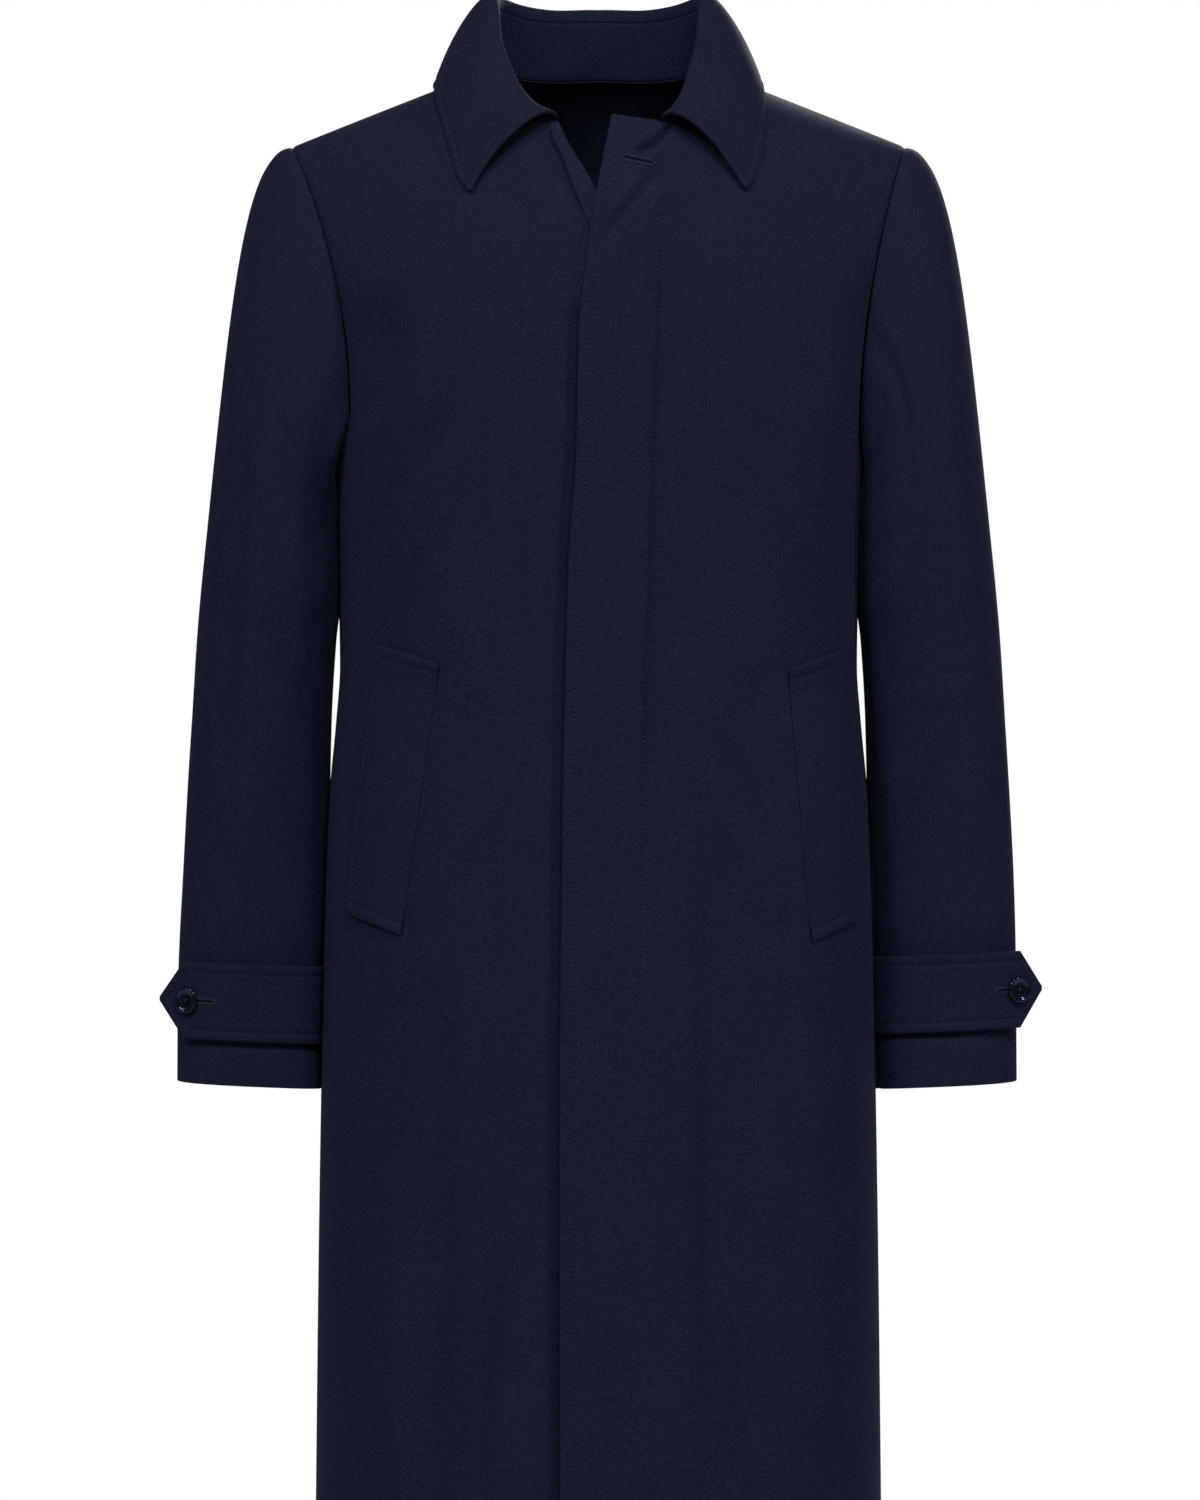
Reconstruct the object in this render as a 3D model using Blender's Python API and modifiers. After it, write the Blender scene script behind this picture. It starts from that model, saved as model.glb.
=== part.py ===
"""Fly-front overcoat, filled out as it is worn: a hollow garment of sewn cloth pieces.

Metres, +Z up, +X to the wearer's left, the front facing -Y. The origin is the middle of the neck hole,
level with the points where the shoulder seams meet the collar.
"""

import math
from collections import namedtuple

import bmesh
import bpy
import numpy as np
from mathutils import Matrix, Vector

NAME = "overcoat"

# Cloth and seams
CLOTH = 0.0018
COLLAR_CLOTH = 0.0026
TAB_CLOTH = 0.0024
WELT_CLOTH = 0.0020
SEAM_GAP = 0.0003
SEAM_HALF = SEAM_GAP / 2
SIDE_SEAM_HALF = 0.00022
SLEEVE_SEAM_HALF = 0.00022

# Levels of the body
HEM_HEIGHT = -1.095
ARMPIT_HEIGHT = -0.287
NECK_HALF = 0.075
BACK_NECK_DEPTH = 0.055
NECK_MIDDLE = -0.012
SHOULDER_TIP = 0.2205
SHOULDER_SLOPE = 0.40
SHOULDER_SOFT = 0.030
BODY_SQUARE = 2.4
ARMHOLE_EASE = 0.85

# How many rows and columns each kind of piece has
LOWER_ROWS = 16
NECK_COLUMNS = 7
SHOULDER_COLUMNS = 7
BACK_NECK_COLUMNS = 4
BACK_SHOULDER_COLUMNS = 6
UNDERARM_ANGLES = (45, 90)
CHEST_ANGLES = (76, 63, 50, 37, 24, 12)
SEAM_EDGE_SHOULDER = 0.0003
SEAM_EDGE_NECK = 0.0015
SEAM_EDGE_BACK = 0.003
SEAM_EDGE_SLEEVE = 0.003
SAMPLES = 240
EDGE_FADE = 3
ARMHOLE_FADE = 2

# The body in level sections, from the hem up
Section = namedtuple("Section", "height half_width front back")
BODY = (
    Section(-1.095, 0.2036, 0.139, 0.135),
    Section(-0.872, 0.2012, 0.135, 0.128),
    Section(-0.757, 0.1995, 0.133, 0.122),
    Section(-0.640, 0.1972, 0.131, 0.114),
    Section(-0.584, 0.1957, 0.129, 0.108),
    Section(-0.526, 0.1934, 0.128, 0.103),
    Section(-0.469, 0.1883, 0.127, 0.098),
    Section(-0.430, 0.1856, 0.127, 0.097),
    Section(-0.380, 0.1865, 0.127, 0.100),
    Section(-0.287, 0.1910, 0.128, 0.108),
    Section(-0.200, 0.2040, 0.128, 0.108),
    Section(-0.110, 0.2360, 0.128, 0.108),
    Section(-0.050, 0.2580, 0.128, 0.108),
)

# Front and back differ in how far below the shoulder they reach full depth
Face = namedtuple("Face", "column sign round_drop")
FRONT = Face("front", -1, 0.25)
BACK = Face("back", 1, 0.16)

# Largest folds of the cloth: a soft ridge (or hollow, if negative) from one place to another
Fold = namedtuple("Fold", "face x0 z0 x1 z1 width rise")
FOLDS = (
    Fold("front", -0.150, -0.185, -0.168, -0.262, 0.024, -0.0050),
    Fold("front", -0.088, -0.240, -0.160, -0.375, 0.022, 0.0035),
    Fold("front", 0.064, -0.170, 0.066, -0.420, 0.020, -0.0035),
    Fold("front", 0.064, -0.455, 0.113, -0.580, 0.016, 0.0035),
    Fold("front", 0.056, -0.720, 0.058, -1.095, 0.018, 0.0050),
    Fold("front", 0.100, -0.560, 0.108, -1.095, 0.022, -0.0045),
    Fold("front", 0.148, -0.820, 0.165, -1.000, 0.018, 0.0045),
    Fold("front", -0.058, -0.830, -0.058, -1.095, 0.018, 0.0050),
    Fold("front", -0.108, -0.700, -0.112, -1.095, 0.024, -0.0050),
    Fold("back", -0.070, -0.560, -0.095, -1.095, 0.026, 0.0060),
    Fold("back", 0.080, -0.600, 0.088, -1.095, 0.024, 0.0055),
    Fold("back", -0.036, -0.640, -0.046, -1.095, 0.017, -0.0045),
    Fold("back", 0.135, -0.500, 0.150, -0.900, 0.022, -0.0040),
    Fold("back", -0.120, -0.300, -0.150, -0.430, 0.024, -0.0040),
)
FOLD_FADE = 0.30

# Front edges: how far each front's edge stands on its own side of the middle, by height
Edge = namedtuple("Edge", "height across")
LEFT_EDGE = (
    Edge(-1.095, -0.0258),
    Edge(-0.748, -0.0262),
    Edge(-0.539, -0.0241),
    Edge(-0.358, -0.0199),
    Edge(-0.281, -0.0145),
    Edge(-0.197, -0.0129),
    Edge(-0.161, -0.0094),
    Edge(-0.098, -0.0004),
    Edge(-0.042, 0.0102),
)
RIGHT_EDGE = (
    Edge(-1.095, -0.0220),
    Edge(-0.170, -0.0220),
    Edge(-0.125, -0.0120),
    Edge(-0.0986, 0.0018),
    Edge(-0.0858, 0.0081),
    Edge(-0.0633, 0.0215),
    Edge(-0.0462, 0.0293),
)

# Each side of the coat, sized on its own because the two halves don't hang alike
Side = namedtuple("Side", "name sign edge corner collar_end narrow narrow_height spread tab_height "
                  "tab_reach")
Spot = namedtuple("Spot", "across height")
LEFT = Side("left", 1, LEFT_EDGE, Spot(0.0102, -0.0424), Spot(0.0445, -0.0470), 0.186, -0.262, 0.0115,
            -0.6622, 0.3190)
RIGHT = Side("right", -1, RIGHT_EDGE, None, Spot(0.0293, -0.0462), 0.1765, -0.245, 0.0, -0.6695, 0.3155)
BACK_NARROW = 0.186
BACK_NARROW_HEIGHT = -0.245
CORNER_COLUMNS = 3

# The left front is lifted where the right front, and its turned-back edge, lie under it
LAP_LIFT = 0.0024
LAP_LIFT_TURNBACK = 0.0060
LAP_FULL = 0.024
LAP_NONE = 0.062
LAP_TURNBACK_BOTTOM = -0.190
LAP_TURNBACK_TOP = -0.156

# Turned-back edge of the right front: its fold and free edge, and how far the free edge stands off
Turn = namedtuple("Turn", "height fold free stand")
TURNBACK = (
    Turn(-0.1480, -0.0185, -0.0040, 0.0),
    Turn(-0.1266, -0.0122, 0.0038, 0.0),
    Turn(-0.1130, -0.0056, 0.0095, 0.0004),
    Turn(-0.1002, 0.0011, 0.0151, 0.0020),
    Turn(-0.0862, 0.0082, 0.0200, 0.0036),
    Turn(-0.0718, 0.0168, 0.0249, 0.0044),
    Turn(-0.0563, 0.0252, 0.0318, 0.0036),
    Turn(-0.0500, 0.0278, 0.0318, 0.0022),
)
TURNBACK_ROWS = 14
TURNBACK_COLUMNS = 3

# Pocket welts: corners on each front, outer edge bowed a little
Welt = namedtuple("Welt", "side top_outer top_inner bottom_outer bottom_inner")
WELTS = (
    Welt(LEFT, Spot(0.1675, -0.4212), Spot(0.1336, -0.4335), Spot(0.1812, -0.6102), Spot(0.1497, -0.6249)),
    Welt(RIGHT, Spot(0.1534, -0.4169), Spot(0.1118, -0.4293), Spot(0.1753, -0.6053), Spot(0.1385, -0.6200)),
)
WELT_BOW = 0.0028
WELT_OFF_CLOTH = 0.0009
WELT_ROWS = 11
WELT_COLUMNS = 3

# Sleeve in rings from the cuff up, arm hanging beside the body
Ring = namedtuple("Ring", "height outer inner half_depth middle_y")
SLEEVE = (
    Ring(-0.7305, 0.3025, 0.1988, 0.0450, 0.020),
    Ring(-0.6400, 0.3018, 0.1968, 0.0475, 0.020),
    Ring(-0.5840, 0.3003, 0.1953, 0.0505, 0.020),
    Ring(-0.5260, 0.2972, 0.1950, 0.0540, 0.018),
    Ring(-0.4690, 0.2936, 0.1938, 0.0575, 0.016),
    Ring(-0.4110, 0.2899, 0.1909, 0.0620, 0.014),
    Ring(-0.3780, 0.2870, 0.1889, 0.0650, 0.012),
    Ring(-0.3350, 0.2825, 0.1896, 0.0690, 0.010),
)
SLEEVE_SQUARE = 2.15
CUFF_TILT = math.radians(2.4)
BICEP_HEIGHT = -0.335
CUFF_HEIGHT = -0.7305
CAP_RINGS = 6
CAP_CROWD = 1.25
TUBE_RINGS = 10
ARMHOLE_CLEAR = 0.0006
UNDER_FRONT_ANGLE = 148
UNDER_BACK_ANGLE = 118

# Sleeve cap: which way and how far the cloth runs on from the armhole, from shoulder tip to armpit
Cap = namedtuple("Cap", "angle out forward down start finish lean")
CAP = (
    Cap(0, 1.00, 0.00, 0.12, 0.033, 0.200, 0.168),
    Cap(90, 0.78, 0.22, 0.58, 0.050, 0.070, 0.100),
    Cap(180, 0.45, 0.00, 0.89, 0.012, 0.015, 0.000),
)

# Folds of the sleeves: angle round the arm, from one height to another
SleeveFold = namedtuple("SleeveFold", "side angle top bottom width rise")
SLEEVE_FOLDS = (
    SleeveFold("right", 62, -0.330, -0.560, 16, -0.0022),
    SleeveFold("right", -95, -0.350, -0.560, 18, -0.0030),
    SleeveFold("left", 70, -0.330, -0.520, 16, -0.0022),
    SleeveFold("left", -90, -0.350, -0.560, 18, -0.0030),
)

# Collar, by place along it from the middle of the back (0) past the shoulder (0.5) to its end (1)
Collar = namedtuple("Collar", "place stand lean roll_up roll_out edge_across edge_drop edge_up edge_in")
COLLAR = (
    Collar(0.000, 0.0420, 0.0050, 0.030, 0.000, 0.0000, 0.0480, 0.046, 0.012),
    Collar(0.125, 0.0425, 0.0050, 0.030, 0.000, 0.0410, 0.0420, 0.046, 0.012),
    Collar(0.250, 0.0430, 0.0045, 0.030, 0.000, 0.0770, 0.0220, 0.046, 0.013),
    Collar(0.375, 0.0440, 0.0045, 0.030, 0.000, 0.1025, 0.0070, 0.048, 0.014),
    Collar(0.500, 0.0440, 0.0040, 0.030, 0.000, 0.1170, 0.0000, 0.050, 0.0155),
    Collar(0.600, 0.0250, 0.0050, 0.027, 0.000, 0.1160, 0.0095, 0.046, 0.0155),
    Collar(0.700, 0.0165, 0.0080, 0.022, 0.003, 0.1110, 0.0293, 0.040, 0.016),
    Collar(0.850, 0.0090, 0.0070, 0.016, 0.008, 0.1040, 0.0570, 0.034, 0.017),
    Collar(0.930, 0.0070, 0.0035, 0.013, 0.012, 0.0978, 0.0784, 0.032, 0.017),
    Collar(1.000, 0.0045, 0.0000, 0.011, 0.017, 0.0894, 0.0937, 0.031, 0.0175),
)
SHOULDER_PLACE = 0.5
SPREAD_FULL = 0.9
SPREAD_RISE = 0.6
COLLAR_OFF_CLOTH = 0.0009
COLLAR_COLUMNS = 44
COLLAR_ROWS = 9
STAND_END = 0.960
STAND_ROWS = 3
STAND_FOOT = 0.0012
STAND_TOP_CLEAR = 0.0022

# Cuff tab: wraps the front of the cuff, then runs straight on to its point; the button sits near it
TAB_HALF = 0.0270
TAB_OFF_CLOTH = 0.0009
TAB_START_ANGLE = 158
TAB_LEAVE_ANGLE = 55
TAB_POINT = 0.0220
TAB_TIP_HALF = 0.0006
TAB_WRAP_COLUMNS = 11
TAB_POINT_COLUMNS = 3
TAB_ROWS = 4
BUTTON_FROM_POINT = 0.0205
BUTTON_RADIUS = 0.0088
BUTTON_THICK = 0.0034
BUTTON_DISH = 0.0011
BUTTON_RIM = 0.0022
BUTTON_ROUND = 0.0008
BUTTON_STEPS = 28
HOLE_RADIUS = 0.0009
HOLE_SPREAD = 0.0017
HOLE_STEPS = 10
HOLE_DEPTH = 0.010
MERGE = 0.00005
EASE_STEP = 0.0005

# Where the inside of a piece lies, to put its thickness on that side
INSIDE_BELOW = 0.05
FALL_INSIDE_SHARE = 0.8
FALL_INSIDE_HEIGHT = -0.02

# Colours
Look = namedtuple("Look", "colour roughness")
WOOL = Look((0.0105, 0.0145, 0.030), 0.88)
HORN = Look((0.006, 0.008, 0.016), 0.25)


def column(rows, name):
    return np.array([getattr(row, name) for row in rows], dtype=float)


def follow(rows, key, name, at):
    """A table's column at places along its key, on a smooth curve that never overshoots."""
    places = column(rows, key)
    values = column(rows, name)
    step = np.diff(places)
    slope = np.diff(values) / step
    lean = np.zeros(len(places))
    lean[0] = slope[0]
    lean[-1] = slope[-1]
    before = slope[:-1]
    after = slope[1:]
    same = before * after > 0
    lean[1:-1][same] = 2 * before[same] * after[same] / (before[same] + after[same])
    at = np.clip(np.asarray(at, dtype=float), places[0], places[-1])
    index = np.clip(np.searchsorted(places, at) - 1, 0, len(step) - 1)
    share = (at - places[index]) / step[index]
    rest = 1 - share
    start = values[index] * (1 + 2 * share) + step[index] * lean[index] * share
    end = values[index + 1] * (1 + 2 * rest) - step[index] * lean[index + 1] * rest
    return start * rest ** 2 + end * share ** 2


def ease(low, high, at):
    share = np.clip((np.asarray(at, dtype=float) - low) / (high - low), 0, 1)
    return share * share * (3 - 2 * share)


def shoulder_height(x):
    """Height of the shoulder line, rounded off at the middle of the body."""
    at_neck = math.hypot(NECK_HALF, SHOULDER_SOFT)
    return SHOULDER_SLOPE * (at_neck - np.hypot(x, SHOULDER_SOFT))


def fold_rise(face, x, height):
    total = np.zeros(np.broadcast(x, height).shape)
    for fold in FOLDS:
        if fold.face != face.column:
            continue
        run = np.array([fold.x1 - fold.x0, fold.z1 - fold.z0])
        length = np.linalg.norm(run)
        along = ((x - fold.x0) * run[0] + (height - fold.z0) * run[1]) / length
        off = ((x - fold.x0) * run[1] - (height - fold.z0) * run[0]) / length
        fade = FOLD_FADE * length
        ends = ease(-fade, fade, along)
        if fold.z1 > HEM_HEIGHT:
            ends = ends * ease(-fade, fade, length - along)
        total = total + fold.rise * ends * np.exp(-((off / fold.width) ** 2))
    return total


def torso_depth(face, x, height):
    """How far the body's face stands off the plane through the shoulder and side seams."""
    half = follow(BODY, "height", "half_width", height)
    depth = follow(BODY, "height", face.column, height)
    drop = np.clip((shoulder_height(x) - height) / face.round_drop, 0, 1)
    rounding = np.sqrt(1 - (1 - drop) ** 2)
    share = np.clip(np.abs(x) / half, 0, 1) ** BODY_SQUARE
    profile = (1 - share) ** (1 / BODY_SQUARE)
    return profile * (depth * rounding + fold_rise(face, x, height))


def lap_lift(x, height):
    """How far the left front is raised over what lies under it."""
    top = ease(LAP_TURNBACK_BOTTOM, LAP_TURNBACK_TOP, height)
    lift = LAP_LIFT + (LAP_LIFT_TURNBACK - LAP_LIFT) * top
    return lift * (1 - ease(LAP_FULL, LAP_NONE, x))


def body_points(face, side, across, height):
    """Points on the outer face of a front or back, from distances on its own side and heights."""
    across = np.asarray(across, dtype=float)
    height = np.asarray(height, dtype=float)
    x = side.sign * across
    depth = torso_depth(face, x, height) + SIDE_SEAM_HALF
    if face is FRONT and side is LEFT:
        depth = depth + lap_lift(x, height)
    return np.stack([x + 0 * depth, face.sign * depth, height + 0 * depth], axis=-1)


def body_moved_out(face, side, across, height, out):
    """Points of a front or back, moved out square to its face."""
    here = body_points(face, side, across, height)
    aside = body_points(face, side, across + EASE_STEP, height)
    below = body_points(face, side, across, height - EASE_STEP)
    square = np.cross(aside - here, here - below) * side.sign * -face.sign
    square = square / np.linalg.norm(square, axis=-1, keepdims=True)
    return here + square * np.asarray(out)[..., None]


def even_spread(points, count):
    """Places of a number of points spread evenly along a line of points."""
    run = np.concatenate([[0], np.cumsum(np.linalg.norm(np.diff(points, axis=0), axis=1))])
    return np.interp(np.linspace(0, run[-1], count), run, np.arange(len(points)))


def level_row(face, side, start, height, count):
    """Distances across one level row of a panel, spread evenly from its edge to the side seam."""
    half = float(follow(BODY, "height", "half_width", height))
    first = math.asin(math.copysign(min(abs(start) / half, 1) ** (BODY_SQUARE / 2), start))
    angles = np.linspace(first, math.pi / 2, SAMPLES)
    across = half * np.sign(np.sin(angles)) * np.abs(np.sin(angles)) ** (2 / BODY_SQUARE)
    across[-1] = half
    heights = np.full(SAMPLES, height)
    spread = even_spread(body_points(face, side, across, heights), count)
    return np.interp(spread, np.arange(SAMPLES), across)


def armhole(face, side):
    """Distances and heights of the armhole edge from the armpit up to the shoulder tip."""
    narrow = side.narrow if face is FRONT else BACK_NARROW
    low = side.narrow_height if face is FRONT else BACK_NARROW_HEIGHT
    tip = float(shoulder_height(SHOULDER_TIP))
    depth = float(follow(BODY, "height", face.column, low))
    narrow_depth = float(torso_depth(face, side.sign * narrow, low))
    half = float(follow(BODY, "height", "half_width", ARMPIT_HEIGHT))
    places = [Spot(half, ARMPIT_HEIGHT)]
    for degrees in UNDERARM_ANGLES:
        turn = math.radians(degrees)
        height = ARMPIT_HEIGHT + (low - ARMPIT_HEIGHT) * (1 - math.cos(turn))
        width = float(follow(BODY, "height", "half_width", height))
        share = (narrow_depth * math.sin(turn) / depth) ** BODY_SQUARE
        places.append(Spot(width * (1 - share) ** (1 / BODY_SQUARE), height))
    places[-1] = Spot(narrow, low)
    drops = [(tip - low) * (1 - math.cos(math.radians(degrees))) for degrees in CHEST_ANGLES]
    for drop in drops + [SEAM_EDGE_SHOULDER, 0.0]:
        share = math.sin(math.pi / 2 * drop / (tip - low)) ** ARMHOLE_EASE
        places.append(Spot(SHOULDER_TIP - (SHOULDER_TIP - narrow) * share, tip - drop))
    return places


def front_neckline(side):
    """Neck edge of a front, from its front edge round to the shoulder seam."""
    places = []
    curved = NECK_COLUMNS
    if side.corner is not None:
        curved = NECK_COLUMNS - CORNER_COLUMNS
        for share in np.linspace(0, 1, CORNER_COLUMNS, endpoint=False):
            across = side.corner.across + (side.collar_end.across - side.corner.across) * share
            height = side.corner.height + (side.collar_end.height - side.corner.height) * share
            places.append(Spot(across, height))
    for turn in np.linspace(math.pi / 2, 0, curved + 1):
        across = side.collar_end.across + (NECK_HALF - side.collar_end.across) * math.cos(turn)
        places.append(Spot(across, side.collar_end.height * math.sin(turn)))
    return places


def back_neck_spot(turn):
    """Place on the back's neck edge, an oval seen from above that starts at the middle of the back."""
    across = max(NECK_HALF * math.sin(turn), SEAM_HALF)
    half = float(follow(BODY, "height", "half_width", 0))
    depth = float(follow(BODY, "height", BACK.column, 0))
    profile = (1 - (across / half) ** BODY_SQUARE) ** (1 / BODY_SQUARE)
    rounding = BACK_NECK_DEPTH * math.cos(turn) / (depth * profile)
    drop = BACK.round_drop * (1 - math.sqrt(1 - rounding ** 2))
    return Spot(across, float(shoulder_height(across)) - drop)


def back_neckline():
    """Neck edge of a back, with one narrow column beside the centre-back seam."""
    turns = np.linspace(0, math.pi / 2, BACK_NECK_COLUMNS + 1)
    beside = math.asin(SEAM_EDGE_BACK / NECK_HALF)
    return [back_neck_spot(turn) for turn in [turns[0], beside, *turns[1:]]]


def shoulder_seam(columns):
    places = []
    for across in np.linspace(NECK_HALF, SHOULDER_TIP, columns + 1)[1:]:
        places.append(Spot(across, float(shoulder_height(across))))
    return places


def panel_rows(face, side, edge, top, seam_columns):
    """Rows of a front or back from the hem to its neck and shoulder edge."""
    columns = len(top)
    rows = []
    for height in np.linspace(HEM_HEIGHT, ARMPIT_HEIGHT, LOWER_ROWS + 1):
        across = level_row(face, side, float(edge(height)), height, columns)
        rows.append(body_points(face, side, across, np.full(columns, height)))
    outer = armhole(face, side)
    low_across = across
    top_across = np.array([spot.across for spot in top])
    top_height = np.array([spot.height for spot in top])
    tip = outer[-1].height
    share = np.linspace(0, 1, columns)
    beside_shoulder = np.arange(columns) >= columns - 1 - seam_columns
    for index, spot in enumerate(outer[1:], start=2):
        up = (spot.height - ARMPIT_HEIGHT) / (tip - ARMPIT_HEIGHT)
        height = ARMPIT_HEIGHT + (top_height - ARMPIT_HEIGHT) * up
        if index == len(outer) - 1:
            height = top_height - np.where(beside_shoulder, SEAM_EDGE_SHOULDER, SEAM_EDGE_NECK)
            height[-1] = spot.height
        straight = low_across + (top_across - low_across) * up
        to_edge = float(edge(height[0])) - straight[0]
        to_armhole = spot.across - straight[-1]
        across = straight + to_edge * (1 - share) ** EDGE_FADE + to_armhole * share ** ARMHOLE_FADE
        if index == len(outer):
            across = top_across
        rows.append(body_points(face, side, across, height))
    return rows


def front_rows(side):
    top = front_neckline(side) + shoulder_seam(SHOULDER_COLUMNS)
    return panel_rows(FRONT, side, lambda height: follow(side.edge, "height", "across", height), top,
                      SHOULDER_COLUMNS)


def back_rows(side):
    top = back_neckline() + shoulder_seam(BACK_SHOULDER_COLUMNS)
    return panel_rows(BACK, side, lambda height: SEAM_HALF, top, BACK_SHOULDER_COLUMNS)


def sleeve_points(side, height, angle, out=0.0):
    """Points of a sleeve's outer face; angle 0 is its outer side and 90 its front."""
    outer = follow(SLEEVE, "height", "outer", height)
    inner = follow(SLEEVE, "height", "inner", height)
    deep = follow(SLEEVE, "height", "half_depth", height)
    middle_y = follow(SLEEVE, "height", "middle_y", height)
    tilt = CUFF_TILT * ease(BICEP_HEIGHT, CUFF_HEIGHT, height)
    turn = np.radians(angle)
    power = 2 / SLEEVE_SQUARE
    aside = np.sign(np.cos(turn)) * np.abs(np.cos(turn)) ** power
    ahead = np.sign(np.sin(turn)) * np.abs(np.sin(turn)) ** power
    swell = out + np.zeros(np.broadcast(height, angle).shape)
    for fold in SLEEVE_FOLDS:
        if fold.side == side.name:
            length = fold.top - fold.bottom
            fade = FOLD_FADE * length
            ends = ease(-fade, fade, fold.top - height) * ease(-fade, fade, height - fold.bottom)
            away = (np.asarray(angle) - fold.angle + 180) % 360 - 180
            swell = swell + fold.rise * ends * np.exp(-((away / fold.width) ** 2))
    wide = (outer - inner) / 2
    sideways = wide * aside + swell * np.cos(turn)
    x = (outer + inner) / 2 + sideways * np.cos(tilt)
    y = middle_y - deep * ahead - swell * np.sin(turn)
    z = height + sideways * np.sin(tilt)
    return np.stack([side.sign * x, y, z], axis=-1)


def armhole_loop(side):
    """Armhole edge as a loop from the shoulder tip down the front, past the armpit and up the back."""
    loop = []
    for face in (FRONT, BACK):
        places = armhole(face, side)
        across = np.array([spot.across for spot in places])
        height = np.array([spot.height for spot in places])
        points = body_points(face, side, across, height)
        points[0, 1] = 0
        points[-1, 1] = 0
        loop.append(points)
    return loop[0][::-1], loop[1]


def loop_angles(points):
    run = np.concatenate([[0], np.cumsum(np.linalg.norm(np.diff(points, axis=0), axis=1))])
    return 180 * run / run[-1]


def sleeve_columns(side):
    """Whole sleeve, a list of columns from the shoulder tip round: each an angle and its points."""
    front, back = armhole_loop(side)
    angles = np.concatenate([loop_angles(front), 360 - loop_angles(back[::-1])[::-1][1:-1]])
    starts = np.concatenate([front, back[1:-1]])
    columns = []
    tube = np.linspace(BICEP_HEIGHT, CUFF_HEIGHT, TUBE_RINGS + 1)
    for angle, start in zip(angles, starts):
        away = min(angle, 360 - angle)
        ahead = 1 if angle < 180 else -1
        toward = {name: float(follow(CAP, "angle", name, away)) for name in Cap._fields}
        way = np.array([side.sign * toward["out"], -ahead * toward["forward"], -toward["down"]])
        way = way / np.linalg.norm(way)
        begin = start + way * SEAM_GAP + np.array([side.sign * ARMHOLE_CLEAR, 0, 0])
        finish = sleeve_points(side, BICEP_HEIGHT, angle)
        back_up = np.array([-side.sign * toward["lean"], 0, 1]) * toward["finish"]
        points = []
        for share in np.linspace(0, 1, CAP_RINGS + 1)[:-1] ** CAP_CROWD:
            points.append(bend(begin, begin + way * toward["start"], finish + back_up, finish, share))
        for height in tube:
            points.append(sleeve_points(side, height, angle))
        columns.append((angle, np.array(points)))
    return columns


def bend(begin, leave, arrive, finish, share):
    """Point on a curve that leaves one end and arrives at the other along given arms."""
    rest = 1 - share
    return (begin * rest ** 3 + 3 * leave * rest ** 2 * share + 3 * arrive * rest * share ** 2
            + finish * share ** 3)


def sleeve_halves(side):
    """Rows of the top and under sleeve, parted by a seam gap at the front and back seams."""
    columns = sleeve_columns(side)
    angles = np.array([angle for angle, points in columns])
    first = int(np.argmin(np.abs(angles - UNDER_FRONT_ANGLE)))
    last = int(np.argmin(np.abs(angles - (360 - UNDER_BACK_ANGLE))))
    points = [points for angle, points in columns]
    under = seamed(points[first - 1:last + 2])
    top = seamed(points[last - 1:] + points[:first + 2])
    return [np.array(half).transpose(1, 0, 2) for half in (top, under)]


def seamed(columns):
    """Columns without the outer two, moved in by half a seam gap, each with a narrow column beside it."""
    first = columns[2] - columns[0]
    last = columns[-3] - columns[-1]
    first = first / np.linalg.norm(first, axis=1, keepdims=True)
    last = last / np.linalg.norm(last, axis=1, keepdims=True)
    start = [columns[1] + first * step for step in (SLEEVE_SEAM_HALF, SEAM_EDGE_SLEEVE)]
    end = [columns[-2] + last * step for step in (SEAM_EDGE_SLEEVE, SLEEVE_SEAM_HALF)]
    return start + columns[2:-2] + end


def neckline_point(side, place):
    """Point on the neck edge, by place along the collar."""
    if place <= SHOULDER_PLACE:
        spot = back_neck_spot(math.pi * place)
        return body_points(BACK, side, spot.across, spot.height)
    turn = math.pi * (place - SHOULDER_PLACE)
    across = side.collar_end.across + (NECK_HALF - side.collar_end.across) * math.cos(turn)
    return body_points(FRONT, side, across, side.collar_end.height * math.sin(turn))


def collar_edge_point(side, place, across, drop):
    """Point of the collar's outer edge, laid just off the cloth under it."""
    wider = side.spread * float(ease(SHOULDER_PLACE, SPREAD_FULL, place))
    across = across + wider
    height = float(shoulder_height(across)) - max(drop - SPREAD_RISE * wider, 0)
    face = BACK if place < SHOULDER_PLACE else FRONT
    return body_moved_out(face, side, across, height, COLLAR_CLOTH + COLLAR_OFF_CLOTH)


def collar_arms(side, place):
    """The four points that bend the collar across, from the stand's top over the roll to the edge."""
    size = {name: float(follow(COLLAR, "place", name, place)) for name in Collar._fields}
    foot = neckline_point(side, place)
    outward = np.array([foot[0], foot[1] - NECK_MIDDLE, 0])
    outward = outward / np.linalg.norm(outward)
    up = np.array([0, 0, 1.0])
    begin = foot + up * size["stand"] - outward * size["lean"]
    edge = collar_edge_point(side, place, size["edge_across"], size["edge_drop"])
    toward_neck = np.array([edge[0], edge[1] - NECK_MIDDLE, 0])
    toward_neck = toward_neck / np.linalg.norm(toward_neck)
    leave = begin + up * size["roll_up"] + outward * size["roll_out"]
    arrive = edge + up * size["edge_up"] - toward_neck * size["edge_in"]
    return foot, begin, leave, arrive, edge


def collar_places(end):
    """Places along the collar from its right end to its left, each with its side."""
    spots = []
    for share in np.linspace(-1, 1, COLLAR_COLUMNS + 1):
        if abs(share) <= end:
            spots.append((LEFT if share >= 0 else RIGHT, abs(float(share))))
    return spots


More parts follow.
